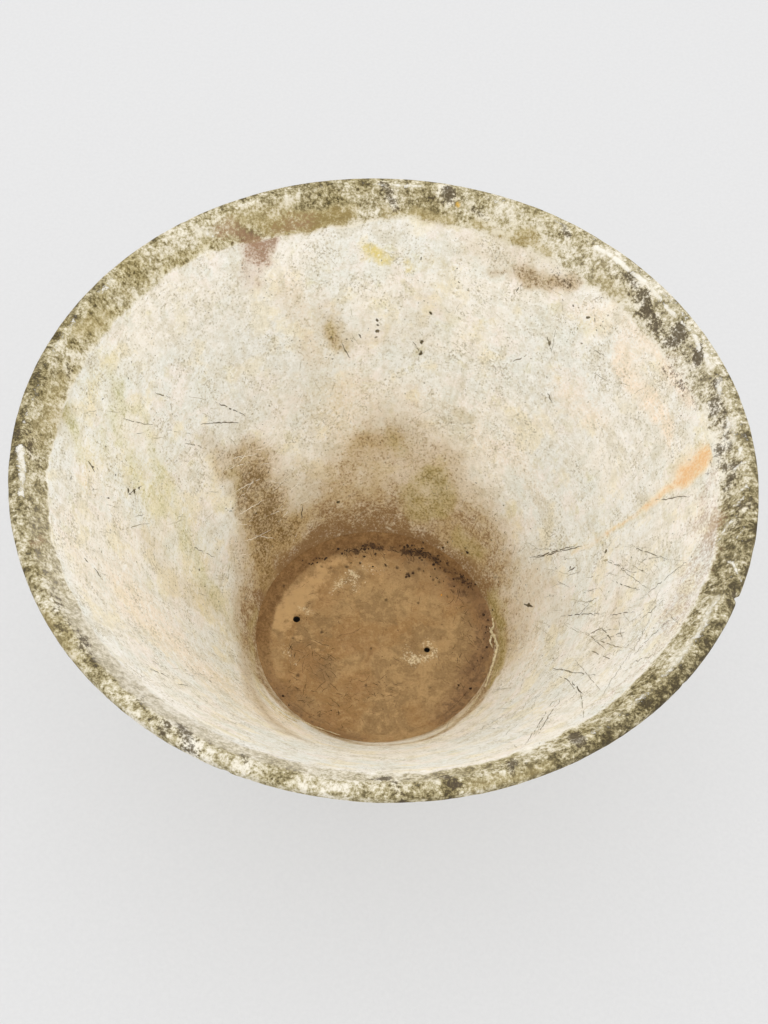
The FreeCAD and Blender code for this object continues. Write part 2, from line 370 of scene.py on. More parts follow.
class Graph:
    """Adds nodes to a material and links them, so that a material reads as a list of steps."""

    def __init__(self, name, colour):
        self.material = bpy.data.materials.new(name)
        self.material.use_nodes = True
        self.material.diffuse_color = linear(*colour)
        self.tree = self.material.node_tree
        self.shader = self.tree.nodes["Principled BSDF"]
        self.place = self.add("ShaderNodeTexCoord").outputs["Object"]

    def feed(self, socket, value):
        if isinstance(value, bpy.types.NodeSocket):
            self.tree.links.new(value, socket)
        else:
            socket.default_value = value

    def add(self, kind, inputs=None, **settings):
        node = self.tree.nodes.new(kind)
        for setting, value in settings.items():
            setattr(node, setting, value)
        for key, value in (inputs or {}).items():
            self.feed(node.inputs[key], value)
        return node

    def math(self, operation, first, second=0.0):
        return self.add("ShaderNodeMath", {0: first, 1: second}, operation=operation).outputs[0]

    def vector(self, operation, first, second=(0.0, 0.0, 0.0)):
        node = self.add("ShaderNodeVectorMath", {0: first, 1: second}, operation=operation)
        return node.outputs["Value" if operation in ("DOT_PRODUCT", "DISTANCE") else "Vector"]

    def shifted(self, *offset):
        """The place moved aside, so that a noise there goes its own way."""
        return self.vector("ADD", self.place, offset)

    def level(self):
        """The place brought down to the ground."""
        return self.vector("MULTIPLY", self.place, (1.0, 1.0, 0.0))

    def noise(self, size, detail, roughness, place=None, distortion=0.0):
        """Noise about 0.5 whose lumps are about one size in metres."""
        inputs = {"Vector": place or self.place, "Scale": 1 / size, "Detail": detail,
                  "Roughness": roughness, "Distortion": distortion}
        return self.add("ShaderNodeTexNoise", inputs).outputs[0]

    def swing(self, noise, amount):
        """A noise brought about 0 and made larger or smaller."""
        return self.times(self.math("SUBTRACT", noise, 0.5), amount)

    def ramp(self, value, low, high, bottom=0.0, top=1.0):
        inputs = {"Value": value, "From Min": low, "From Max": high, "To Min": bottom, "To Max": top}
        return self.add("ShaderNodeMapRange", inputs, interpolation_type="SMOOTHSTEP").outputs[0]

    def mix(self, share, first, second, blend="MIX"):
        """Two colours mixed, each from a node or given as it shows on screen."""
        colours = [colour if isinstance(colour, bpy.types.NodeSocket) else linear(*colour)
                   for colour in (first, second)]
        inputs = {0: share, 6: colours[0], 7: colours[1]}
        return self.add("ShaderNodeMix", inputs, data_type="RGBA", blend_type=blend).outputs[2]

    def mask(self, name):
        return self.add("ShaderNodeAttribute", attribute_name=name).outputs["Fac"]

    def times(self, value, factor):
        return self.math("MULTIPLY", value, factor)

    def broken(self, mask, grain, bite, low, high):
        """A mask broken up by a grain, crisp where the two add up to the limits; none where it is 0."""
        cover = self.ramp(self.math("ADD", mask, self.swing(grain, bite)), low, high)
        return self.times(cover, self.ramp(mask, 0.0, 0.15))

    def tones(self, value, stops):
        """A colour for each value, through (value, colour) stops."""
        node = self.add("ShaderNodeValToRGB", {0: value})
        for element, (place, colour) in zip(node.color_ramp.elements, (stops[0], stops[-1])):
            element.position = place
            element.color = linear(*colour)
        for place, colour in stops[1:-1]:
            node.color_ramp.elements.new(place).color = linear(*colour)
        return node.outputs["Color"]

    def coats(self, colour, rows):
        """Coats laid on a colour one after another, as (cover, strength, paint) rows."""
        for cover, strength, paint in rows:
            colour = self.mix(self.times(cover, strength), colour, paint)
        return colour

    def finish(self, colour, roughness, height, depth):
        bump = self.add("ShaderNodeBump", {"Height": height, "Distance": depth})
        self.feed(self.shader.inputs["Base Color"], colour)
        self.feed(self.shader.inputs["Roughness"], roughness)
        self.feed(self.shader.inputs["Normal"], bump.outputs[0])
        self.shader.inputs["Specular IOR Level"].default_value = MATT_SPECULAR
        return self.material


# Stains of the wall and painted shade on it, as (reach mm, soft mm, strength, then the x and y of pixels of
# the photograph)
# Soil stains; the broad faint strokes low on the far wall are painted shade near the floor as well.
EARTH_AND_SHADE_STROKES = (
    (12, 8, 1.0, 262, 597, 276, 574, 296, 553, 322, 538, 350, 535, 385, 537, 412, 543, 430, 549),
    (16, 12, 0.45, 268, 560, 288, 534, 318, 520, 350, 517, 400, 522),
    (11, 8, 0.7, 430, 546, 455, 557, 475, 573, 488, 593),
    (22, 20, 0.4, 345, 506, 385, 506, 425, 516, 465, 536, 490, 570),
    (30, 28, 0.34, 362, 462, 400, 470, 440, 482, 470, 512), (24, 24, 0.26, 390, 432, 420, 440, 450, 456),
    (20, 20, 0.22, 300, 500, 330, 480, 350, 450), (22, 18, 0.3, 248, 470, 262, 520, 272, 560),
    (34, 34, 0.18, 300, 400, 345, 395, 400, 410), (32, 32, 0.28, 500, 540, 515, 585, 515, 640),
    (14, 14, 0.42, 250, 605, 246, 650, 257, 700, 290, 735), (20, 20, 0.36, 246, 545, 248, 580, 242, 620),
    (18, 20, 0.22, 545, 580, 560, 620), (6, 8, 0.5, 262, 600, 256, 640, 262, 680),
    (9, 9, 0.6, 495, 620, 498, 650, 488, 682, 465, 715, 430, 738),
    (8, 9, 0.5, 262, 680, 285, 708, 320, 730, 370, 745, 425, 740),
)
OLIVE_STROKES = (
    (18, 11, 0.5, 246, 456, 252, 478), (22, 12, 0.56, 253, 488, 262, 514),
    (14, 12, 0.42, 276, 496, 290, 528), (14, 12, 0.34, 272, 458, 280, 486),
    (18, 10, 0.56, 266, 524, 276, 538), (14, 8, 0.62, 258, 545, 266, 574),
    (12, 12, 0.36, 228, 456, 236, 490, 246, 530), (14, 14, 0.24, 284, 296, 304, 330, 312, 355),
    (9, 9, 0.3, 326, 310, 335, 335, 346, 348), (10, 10, 0.45, 302, 519, 288, 532),
    (12, 12, 0.36, 358, 441, 396, 440), (10, 10, 0.3, 372, 470, 380, 495),
    (6, 5, 0.3, 362, 437, 385, 441, 400, 436), (14, 12, 0.36, 450, 531, 470, 546, 481, 562),
    (16, 14, 0.24, 300, 470, 320, 490, 350, 498), (3, 5, 0.45, 490, 275, 502, 272, 518, 270),
    (7, 6, 0.65, 526, 273, 546, 284, 562, 284, 574, 277), (5, 6, 0.45, 330, 332, 340, 345),
    (14, 14, 0.25, 470, 250, 520, 262, 560, 268), (18, 18, 0.2, 340, 330, 420, 340, 430, 310),
    (16, 16, 0.24, 150, 540, 175, 590, 215, 600), (10, 10, 0.3, 205, 440, 215, 455, 222, 470),
    (8, 10, 0.3, 620, 595, 610, 640, 590, 655),
)
MOSS_STROKES = (
    (11, 9, 0.62, 434, 476, 443, 492, 441, 510), (9, 8, 0.5, 410, 488, 424, 478),
    (10, 9, 0.5, 411, 500, 418, 518), (8, 7, 0.4, 424, 498, 430, 514), (10, 9, 0.5, 460, 540, 478, 552),
    (8, 8, 0.35, 392, 436, 402, 446), (5, 5, 0.4, 462, 416, 470, 420),
    (6, 5, 0.65, 490, 596, 500, 622, 500, 654, 490, 684), (6, 7, 0.35, 232, 470, 236, 490),
    (5, 6, 0.45, 254, 612, 250, 645, 257, 682, 272, 706), (8, 9, 0.3, 222, 618, 236, 632),
    (3, 4, 0.5, 330, 326, 334, 334), (4, 4, 0.45, 340, 344, 347, 350), (3, 3, 0.45, 419, 350, 422, 356),
    (3, 3, 0.4, 375, 338, 376, 342), (4, 5, 0.4, 418, 320, 424, 326), (6, 6, 0.35, 355, 338, 362, 344),
)
RUST_STROKES = (
    (8, 6, 0.8, 706, 458, 696, 467, 684, 477), (3.4, 4, 0.6, 682, 478, 660, 494, 645, 506),
    (2.0, 3, 0.42, 645, 506, 625, 521, 606, 533), (1.8, 3, 0.32, 606, 533, 590, 545, 572, 554),
    (12, 12, 0.35, 700, 455, 680, 475),
)
# Purple-grey marks just below the collar's seam: painted shade under it, laid on as a grainy stain.
PURPLE_SHADE_STROKES = (
    (8, 7, 0.85, 238, 232, 256, 237, 268, 242), (9, 8, 0.65, 252, 252, 263, 260),
    (9, 9, 0.45, 244, 270, 256, 284), (6, 6, 0.3, 112, 306, 130, 286, 152, 268, 172, 256),
    (7, 6, 0.45, 244, 244, 262, 256),
)
YELLOW_STROKES = (
    (6, 5, 0.95, 366, 253, 376, 256, 386, 257), (4.5, 5, 0.75, 404, 256, 411, 265),
    (4, 5, 0.5, 476, 333, 495, 324), (3, 5, 0.5, 562, 312, 576, 317), (3, 5, 0.6, 585, 325, 590, 320),
    (3, 6, 0.45, 550, 366, 562, 376), (4, 5, 0.45, 640, 511, 606, 534, 575, 553),
    (4, 6, 0.35, 318, 262, 326, 266), (12, 12, 0.28, 78, 440, 90, 455, 84, 490),
    (14, 14, 0.35, 135, 470, 150, 490, 165, 480), (16, 16, 0.3, 190, 520, 205, 560, 200, 600),
    (10, 10, 0.35, 88, 395, 100, 372, 118, 350), (20, 18, 0.28, 230, 640, 225, 680, 240, 710),
    (44, 40, 0.2, 100, 430, 150, 520, 200, 600), (12, 12, 0.35, 255, 700, 300, 728),
    (8, 8, 0.3, 420, 262, 455, 270), (22, 20, 0.25, 330, 400, 350, 430, 345, 460),
)
WARM_STROKES = (
    (16, 16, 0.5, 590, 312, 620, 330, 640, 350), (10, 12, 0.6, 622, 360, 632, 385, 655, 408),
    (14, 16, 0.5, 288, 290, 305, 320, 315, 350), (22, 24, 0.5, 345, 390, 338, 430, 350, 470),
    (14, 14, 0.55, 560, 380, 580, 405, 600, 420), (40, 34, 0.62, 130, 600, 190, 660, 280, 720),
    (18, 18, 0.4, 64, 520, 84, 580), (20, 18, 0.5, 530, 580, 525, 620, 530, 660),
    (16, 16, 0.15, 126, 545, 140, 590, 160, 620), (12, 12, 0.4, 80, 470, 100, 500),
    (18, 18, 0.35, 420, 400, 460, 420), (10, 10, 0.4, 700, 500, 690, 540, 680, 570),
    (16, 16, 0.4, 480, 440, 520, 460, 540, 500), (12, 10, 0.85, 628, 300, 655, 335, 690, 395),
    (9, 8, 0.9, 648, 396, 668, 432), (8, 8, 0.7, 620, 356, 630, 388),
)
PALE_STROKES = (
    (7, 7, 0.8, 275, 248, 300, 242, 340, 232, 385, 226, 430, 230),
    (14, 14, 0.75, 560, 270, 600, 300, 640, 345), (16, 14, 0.6, 590, 350, 615, 375),
    (12, 10, 0.6, 280, 265, 330, 256), (20, 20, 0.6, 690, 520, 670, 590, 620, 670),
    (16, 16, 0.9, 110, 640, 170, 700, 260, 752), (22, 20, 0.6, 430, 750, 520, 730, 590, 690),
    (14, 14, 0.5, 62, 470, 58, 520, 72, 590), (22, 22, 0.4, 470, 300, 520, 330, 560, 430),
    (24, 22, 0.4, 580, 560, 620, 560, 650, 530), (26, 22, 0.7, 602, 400, 622, 440, 630, 500),
)
ASH_STROKES = (
    (60, 50, 0.4, 640, 430, 645, 560, 600, 650, 510, 715), (46, 40, 0.4, 560, 400, 550, 470, 560, 530),
    (40, 36, 0.7, 190, 330, 230, 320, 270, 370, 235, 420), (26, 24, 0.35, 90, 600, 140, 660),
)
GREEN_STROKES = (
    (7, 9, 0.5, 112, 374, 120, 386), (7, 8, 0.5, 120, 392, 126, 404), (6, 8, 0.5, 113, 412, 118, 438),
    (6, 7, 0.4, 140, 410, 146, 430), (6, 8, 0.42, 150, 445, 158, 470), (7, 8, 0.35, 128, 455, 135, 480),
    (8, 9, 0.4, 150, 495, 162, 510), (6, 7, 0.35, 100, 430, 104, 450), (8, 9, 0.35, 185, 540, 196, 556),
    (9, 9, 0.4, 203, 574, 214, 592), (9, 9, 0.35, 160, 478, 172, 492), (8, 8, 0.35, 76, 440, 84, 456),
    (9, 9, 0.4, 214, 600, 230, 616), (9, 9, 0.3, 176, 512, 184, 526),
    (7, 5, 0.8, 62, 398, 64, 412, 72, 424), (2, 2, 0.6, 353, 297, 355, 299),
    (2, 2, 0.6, 462, 243, 465, 245), (2, 2, 0.7, 490, 244, 494, 245),
    (5, 4, 0.7, 500, 606, 505, 640, 498, 672), (36, 34, 0.16, 120, 400, 150, 500, 200, 590),
    (6, 6, 0.4, 560, 262, 590, 282), (5, 5, 0.4, 252, 610, 248, 645, 254, 680),
    (6, 6, 0.35, 440, 310, 452, 318),
)
WALL_STROKES = {
    "earth_and_shade": EARTH_AND_SHADE_STROKES, "olive": OLIVE_STROKES, "purple_shade": PURPLE_SHADE_STROKES, "yellow": YELLOW_STROKES,
    "warm": WARM_STROKES, "pale": PALE_STROKES, "green": GREEN_STROKES, "moss": MOSS_STROKES,
    "ash": ASH_STROKES,
}

# Scratches and dark marks on the wall, as (half width mm, tone, start pixel, end pixel); tone 0 is darkest
SCRATCHES = (
    (0.55, 0.1, (215, 402), (247, 417)), (0.5, 0.2, (201, 424), (241, 423)),
    (0.55, 0.1, (303, 505), (302, 523)), (0.4, 0.4, (123, 418), (157, 426)),
    (0.55, 0.3, (155, 393), (168, 397)), (0.5, 0.4, (185, 443), (200, 446)),
    (0.6, 0.0, (130, 493), (142, 486)), (0.9, 0.2, (88, 461), (95, 472)), (0.9, 0.3, (94, 568), (101, 577)),
    (0.8, 0.3, (84, 558), (88, 563)), (0.35, 0.6, (122, 530), (150, 523)),
    (0.7, 0.3, (150, 668), (169, 678)), (0.55, 0.4, (152, 661), (163, 667)),
    (0.55, 0.5, (177, 684), (190, 686)), (0.8, 0.0, (568, 572), (576, 565)),
    (0.4, 0.4, (583, 593), (597, 588)), (0.4, 0.3, (584, 604), (597, 598)),
    (0.45, 0.0, (561, 616), (600, 614)), (0.4, 0.1, (610, 615), (635, 612)),
    (0.4, 0.3, (606, 561), (632, 573)), (0.45, 0.2, (632, 573), (648, 569)),
    (0.35, 0.5, (619, 619), (622, 640)), (0.45, 0.4, (552, 668), (575, 673)),
    (0.35, 0.5, (568, 680), (579, 697)), (0.4, 0.5, (533, 735), (560, 692)),
    (1.4, 0.1, (524, 604), (533, 607)), (0.55, 0.2, (530, 558), (575, 546)),
    (0.55, 0.2, (512, 297), (522, 284)), (0.9, 0.3, (547, 337), (551, 350)),
    (0.55, 0.2, (548, 393), (552, 403)), (0.55, 0.4, (513, 362), (526, 355)),
    (0.55, 0.4, (413, 341), (420, 352)), (0.65, 0.3, (342, 344), (350, 358)),
    (0.4, 0.5, (556, 330), (552, 350)), (0.3, 0.4, (566, 577), (580, 571)),
    (0.3, 0.4, (640, 560), (662, 556)), (0.35, 0.4, (586, 632), (606, 650)),
    (0.7, 0.5, (596, 640), (622, 648)), (0.35, 0.4, (604, 656), (622, 650)),
    (0.3, 0.5, (575, 660), (600, 690)), (0.3, 2.0, (232, 494), (262, 478)),
    (0.3, 2.0, (238, 515), (264, 500)), (0.25, 2.0, (225, 470), (250, 462)),
    (0.3, 0.5, (640, 640), (600, 700)), (0.3, 0.5, (655, 610), (628, 660)),
    (0.35, 0.4, (470, 735), (505, 715)), (0.55, 0.2, (536, 558), (562, 551)),
    (0.5, 0.1, (562, 551), (582, 546)), (0.45, 0.2, (600, 640), (625, 632)),
    (0.7, 0.4, (588, 634), (602, 628)), (0.6, 0.3, (602, 628), (612, 640)),
    (0.6, 0.4, (590, 650), (612, 660)), (0.55, 0.3, (560, 676), (572, 682)),
    (0.6, 0.2, (572, 682), (582, 694)), (0.4, 0.3, (553, 668), (600, 676)),
    (0.55, 0.4, (560, 700), (536, 738)), (0.4, 0.4, (546, 712), (525, 745)),
    (0.4, 0.3, (628, 545), (668, 560)), (0.4, 0.3, (640, 600), (690, 560)),
    (0.35, 0.4, (610, 560), (650, 590)), (0.45, 0.3, (655, 500), (690, 496)),
    (0.45, 0.3, (672, 617), (634, 655)), (0.4, 0.3, (655, 655), (630, 664)),
    (0.35, 0.5, (580, 690), (584, 720)), (0.4, 0.3, (592, 600), (575, 622)),
    (0.4, 0.2, (612, 580), (640, 590)), (0.35, 0.3, (640, 620), (664, 600)),
    (0.3, 0.4, (500, 738), (520, 722)), (0.35, 0.5, (205, 553), (214, 557)),
    (0.45, 0.4, (190, 545), (205, 553)),
)
# Single dark blots on the wall, as (half size mm, tone, pixel)
BLOTS = (
    (1.1, 0.2, (377, 320)), (0.7, 0.2, (378, 325)), (1.1, 0.25, (377, 331)), (0.9, 0.4, (376, 337)),
    (1.0, 0.0, (130, 494)), (1.2, 0.0, (134, 491)), (1.0, 0.0, (139, 488)), (1.0, 0.1, (128, 491)),
    (1.2, 0.1, (108, 498)), (1.0, 0.1, (93, 467)), (1.0, 0.2, (98, 573)), (1.6, 0.1, (528, 605)),
    (1.1, 0.2, (422, 342)), (1.5, 0.1, (421, 353)), (1.0, 0.0, (431, 313)), (1.1, 0.2, (360, 336)),
    (1.0, 0.2, (71, 478)), (0.9, 0.1, (338, 502)), (1.0, 0.1, (421, 258)), (1.3, 0.2, (595, 320)),
    (1.2, 0.2, (588, 318)), (1.0, 0.3, (550, 342)), (1.2, 0.3, (606, 551)), (1.6, 0.8, (606, 560)),
    (1.0, 0.2, (570, 568)),
)
# Fine scratches strewn over a part of the photograph: count, box, direction and its spread in degrees,
# length in pixels, tone
HAIRLINES = (
    (70, (530, 545, 680, 690), -15, 35, (8, 32), 0.6), (40, (440, 690, 600, 745), -30, 30, (8, 30), 0.6),
    (40, (80, 390, 230, 600), 20, 40, (6, 22), 0.7), (50, (250, 240, 560, 430), 60, 50, (6, 18), 0.75),
    (30, (560, 300, 690, 460), 50, 40, (6, 20), 0.7), (24, (120, 620, 260, 740), 25, 25, (8, 24), 0.7),
    (30, (220, 440, 300, 560), -30, 30, (8, 26), 2.0), (40, (540, 560, 680, 680), -35, 40, (8, 30), 2.0),
    (30, (340, 400, 480, 520), 10, 60, (5, 14), 0.5), (24, (470, 540, 560, 660), -30, 40, (6, 18), 0.5),
)
# Dark flecks strewn over a part of the photograph: count, middle pixel, spread in pixels, half size mm, tone
FLECKS = (
    (60, (115, 470), (22, 40), 0.75, 0.2), (30, (95, 565), (14, 22), 0.75, 0.3),
    (40, (210, 600), (30, 26), 0.8, 0.3), (70, (215, 545), (18, 40), 0.55, 0.4),
    (60, (165, 660), (40, 30), 0.6, 0.4), (30, (590, 320), (22, 16), 0.8, 0.3),
    (40, (550, 345), (16, 16), 0.5, 0.4), (60, (430, 300), (50, 40), 0.6, 0.3),
    (40, (335, 340), (16, 14), 0.7, 0.3), (90, (560, 600), (50, 50), 0.6, 0.3),
    (70, (650, 600), (30, 50), 0.6, 0.4), (60, (640, 420), (40, 50), 0.55, 0.4),
    (80, (390, 460), (45, 35), 0.65, 0.2), (60, (470, 540), (25, 30), 0.7, 0.2),
    (70, (250, 500), (20, 45), 0.7, 0.2), (90, (300, 400), (60, 50), 0.5, 0.5),
    (60, (240, 330), (50, 50), 0.5, 0.4), (80, (500, 440), (60, 60), 0.5, 0.5),
    (30, (600, 290), (30, 20), 0.7, 0.4), (50, (690, 430), (12, 30), 0.6, 0.3),
    (40, (130, 400), (25, 30), 0.6, 0.4), (50, (680, 545), (14, 20), 0.6, 0.3),
    (50, (520, 700), (40, 20), 0.6, 0.4), (30, (253, 270), (10, 14), 0.7, 0.2),
    (700, (385, 460), (210, 160), 0.42, 0.6),
)

# What grows on the rim, by its angle in the photograph: cover of the level land, the crest, the slope and
# its foot; white crest; where the growth ends in mm in from the lip, and how softly; grey cement; yellow
RIM_ZONES = np.array((
    (0, 0.6, 0.58, 0.51, 0.43, 0.3, 37, 5, 0.0, 0.2), (5, 0.72, 0.68, 0.56, 0.46, 0.25, 37, 4, 0.0, 0.2),
    (15, 0.74, 0.64, 0.63, 0.6, 0.25, 36, 3, 0.0, 0.1), (25, 0.82, 0.63, 0.52, 0.54, 0.45, 38, 4, 0.0, 0.3),
    (35, 0.82, 0.61, 0.52, 0.55, 0.4, 41, 5, 0.0, 0.3), (45, 0.79, 0.54, 0.5, 0.47, 0.35, 36, 5, 0.0, 0.4),
    (55, 0.78, 0.51, 0.52, 0.47, 0.3, 35, 5, 0.0, 0.6), (65, 0.73, 0.54, 0.53, 0.44, 0.15, 33, 5, 0.1, 0.7),
    (75, 0.56, 0.53, 0.46, 0.38, 0.15, 33, 5, 0.3, 0.5),
    (85, 0.51, 0.46, 0.43, 0.34, 0.15, 33, 5, 0.4, 0.3), (95, 0.4, 0.45, 0.42, 0.34, 0.1, 34, 4, 0.5, 0.3),
    (105, 0.39, 0.42, 0.4, 0.34, 0.1, 35, 4, 0.6, 0.3),
    (115, 0.36, 0.44, 0.38, 0.32, 0.05, 36, 3, 0.7, 0.2),
    (125, 0.4, 0.34, 0.44, 0.32, 0.05, 37, 2, 0.8, 0.15),
    (135, 0.43, 0.4, 0.42, 0.34, 0.05, 37.5, 1.5, 0.8, 0.25),
    (145, 0.54, 0.49, 0.46, 0.39, 0.05, 37.5, 1.5, 0.7, 0.45),
    (155, 0.52, 0.49, 0.49, 0.42, 0.05, 37, 1.5, 0.5, 0.4),
    (165, 0.51, 0.51, 0.56, 0.49, 0.05, 36, 1.5, 0.4, 0.4),
    (175, 0.67, 0.55, 0.5, 0.46, 0.1, 36.5, 2, 0.2, 0.3),
    (185, 0.75, 0.58, 0.56, 0.58, 0.1, 37, 2, 0.0, 0.5),
    (195, 0.67, 0.55, 0.56, 0.44, 0.1, 39, 3, 0.0, 0.7),
    (205, 0.66, 0.51, 0.38, 0.34, 0.1, 39, 4, 0.0, 0.7),
    (215, 0.63, 0.44, 0.45, 0.43, 0.1, 37, 4, 0.0, 0.8),
    (225, 0.46, 0.47, 0.44, 0.42, 0.05, 37, 4, 0.0, 0.8),
    (235, 0.49, 0.43, 0.38, 0.4, 0.05, 36, 4, 0.0, 0.7),
    (245, 0.53, 0.44, 0.43, 0.48, 0.05, 44, 2.5, 0.0, 0.4),
    (255, 0.61, 0.49, 0.45, 0.5, 0.05, 47, 2.5, 0.0, 0.4),
    (262, 0.55, 0.53, 0.56, 0.57, 0.05, 46, 2.5, 0.0, 0.7),
    (268, 0.58, 0.56, 0.55, 0.5, 0.15, 39, 3, 0.0, 0.4), (275, 0.56, 0.58, 0.5, 0.5, 0.15, 38, 4, 0.0, 0.5),
    (285, 0.46, 0.42, 0.38, 0.31, 0.2, 40, 6, 0.0, 0.5),
    (295, 0.41, 0.43, 0.39, 0.36, 0.25, 41, 6, 0.0, 0.5),
    (305, 0.43, 0.42, 0.4, 0.38, 0.45, 41, 8, 0.2, 0.1),
    (315, 0.43, 0.44, 0.48, 0.44, 0.6, 42, 9, 0.2, 0.1),
    (325, 0.42, 0.42, 0.46, 0.38, 0.6, 42, 9, 0.3, 0.0), (335, 0.54, 0.4, 0.44, 0.4, 0.4, 40, 8, 0.3, 0.0),
    (345, 0.6, 0.42, 0.42, 0.4, 0.35, 37, 6, 0.2, 0.1), (355, 0.58, 0.53, 0.41, 0.34, 0.3, 36, 6, 0.1, 0.2),
    (360, 0.6, 0.58, 0.51, 0.43, 0.3, 37, 5, 0.0, 0.2),
))
# Where the white crest lies, in mm in from the lip, by the same angle
WHITE_CREST = np.array(((0, 12), (60, 13), (150, 11), (175, 9), (250, 7), (335, 6.5), (350, 10), (360, 12)))


def round_rim(*strokes):
    """Strokes given by the angle round the rim and the pixels in from its edge, as strokes of pixels."""
    rows = []
    for reach, soft, strength, *path in strokes:
        pixels = [rim_pixel(angle, depth) for angle, depth in pairs(path)]
        rows.append((reach, soft, strength, *(number for pixel in pixels for number in pixel)))
    return rows


RIM_DARK_STROKES = round_rim(
    (6, 4, 1.0, 54, 16, 54.5, 24), (4, 3, 0.8, 66.5, 15, 66.5, 23), (5, 4, 0.85, 75.5, 9, 77, 20),
    (4, 4, 0.7, 84, 2, 84.5, 10, 85, 18), (4, 3, 0.9, 86.5, 22, 88.5, 21), (4, 4, 0.7, 109, 12, 109.5, 18),
    (5, 5, 0.8, 118.5, 3, 120, 14, 121.5, 21), (4, 4, 0.7, 123.5, 6, 124, 14),
    (3.5, 3, 0.7, 130, 16, 129.5, 22), (3.5, 3, 0.65, 152, 18, 152.5, 22), (4, 4, 0.6, 143.5, 18, 145, 22),
    (4, 4, 0.6, 148, 8, 148.5, 12), (4, 4, 0.7, 186, 2, 187, 10), (5, 5, 0.45, 183, 22, 187, 20),
    (4, 4, 0.45, 201, 32, 203, 30), (5, 5, 0.8, 267.5, 5, 269, 20, 269.5, 28),
    (5, 4, 0.95, 277, 3, 277.5, 12), (4, 3, 0.5, 282, 18, 284.5, 24), (4, 3, 0.8, 296, 6, 297.5, 11),
    (4, 4, 0.65, 310, 10, 312, 16), (6, 6, 0.55, 314.5, 16, 316, 30), (6, 5, 0.95, 322.5, 12, 323.5, 24),
    (5, 4, 0.95, 327, 12, 329, 18), (4, 4, 0.8, 334, 8, 334.5, 16), (5, 5, 0.65, 337, 20, 339, 29),
    (4, 4, 0.7, 342, 18, 345, 23), (3.5, 3.5, 0.7, 346.5, 20, 347, 34), (3.5, 4, 0.75, 350.5, 10, 351, 30),
    (4, 4, 0.7, 353, 22, 356, 30), (5, 5, 0.7, 358.5, 8, 359.5, 18), (5, 5, 0.7, 2, 20, 3.5, 26),
    (5, 5, 0.34, 327, 42, 333, 46), (4, 4, 0.36, 300.5, 44, 301.5, 56), (4, 4, 0.5, 349, 42, 351, 47),
    (10, 8, 0.31, 308, 15, 318, 24, 330, 24, 340, 22), (10, 8, 0.3, 340, 22, 350, 24, 359, 24),
    (9, 8, 0.42, 314.5, 27, 318.5, 33), (8, 7, 0.4, 318.5, 31, 323, 28),
    (7, 6, 0.2, 338, 32, 348, 34, 359, 33), (8, 7, 0.26, 326, 44, 336, 44), (8, 7, 0.2, 116, 10, 126, 14),
    (8, 7, 0.3, 140, 16, 158, 17), (6, 6, 0.3, 172, 20, 186, 26), (6, 5, 0.3, 274, 10, 282, 12),
    (5, 5, 0.34, 298, 46, 302, 58),
)
RIM_WHITE_STROKES = round_rim(
    (2.8, 1.4, 0.95, 302.5, 7, 305.2, 7), (2.6, 1.4, 0.95, 306.4, 7, 309, 7.4),
    (2.2, 1.4, 0.9, 310.2, 7.3, 312.8, 7.4), (1.8, 1.4, 0.8, 314, 7.4, 316.8, 7.6),
    (2.4, 1.5, 0.85, 318, 8.4, 320.4, 9), (1.6, 1.3, 0.75, 321.6, 8, 323.8, 8.4),
    (2.6, 1.6, 0.85, 325, 9.6, 327.2, 12), (3.0, 2.0, 0.7, 329, 8, 331.5, 12),
    (3.2, 2.4, 0.65, 334, 10, 336.5, 16), (2.1, 1.4, 0.9, 341.5, 16, 343.3, 19, 344, 24),
    (1.8, 1.3, 0.85, 345, 26, 346, 22), (2.0, 1.4, 0.9, 347.5, 10, 348.8, 14),
    (1.8, 1.3, 0.85, 350.4, 8, 351, 16, 351.8, 22), (1.6, 1.3, 0.8, 355, 10, 356.4, 18),
    (1.6, 1.3, 0.8, 357.2, 14, 359, 24), (1.6, 1.3, 0.8, 1, 20, 2.4, 26), (1.5, 1.2, 0.75, 3.5, 12, 5, 18),
    (3.6, 2.6, 0.85, 175, 14, 180, 13.5, 184, 12), (1.8, 2.0, 0.5, 188, 10, 196, 11),
    (2.0, 1.8, 0.85, 269, 5, 273.5, 5), (1.6, 1.6, 0.7, 266, 5, 267.5, 6), (1.8, 1.8, 0.6, 285, 5, 288, 8),
    (2.0, 2.0, 0.6, 294, 3, 297, 5), (2.5, 2.5, 0.6, 203, 10, 210, 9), (2.2, 2.2, 0.65, 217, 9, 220, 8),
    (3.0, 3.0, 0.6, 236.5, 10, 238.5, 24), (2.5, 2.5, 0.7, 3, 30, 6.5, 34),
    (4.0, 4.0, 0.75, 18, 18, 26, 19, 35, 19), (3.0, 3.0, 0.65, 40, 17, 44, 18),
    (3.0, 3.0, 0.6, 50, 16, 53, 17), (2.5, 2.5, 0.6, 342, 12, 346, 16), (2.0, 1.5, 0.7, 256.5, 6, 258.5, 5),
    (1.2, 1.0, 0.8, 13, 3, 10.5, 13, 9.8, 28),
)
RIM_RED_STROKES = round_rim(
    (9, 8, 0.6, 241, 24, 243, 34, 244.5, 44), (8, 7, 0.5, 244, 46, 245.5, 64),
    (6, 5, 0.45, 249, 36, 254, 38), (12, 11, 0.38, 0, 44, 4, 50, 8, 46), (8, 8, 0.45, 352, 44, 357, 56),
    (8, 8, 0.4, 326, 42, 335, 45), (5, 5, 0.5, 164.5, 20, 166.5, 30), (5, 5, 0.55, 2, 40, 6, 46),
    (5, 6, 0.35, 251, 28, 256, 34), (12, 11, 0.4, 9, 40, 18, 45, 28, 44), (8, 8, 0.4, 2, 56, 5, 66),
    (10, 9, 0.4, 14, 56, 26, 54), (6, 6, 0.35, 32, 40, 45, 40),
)
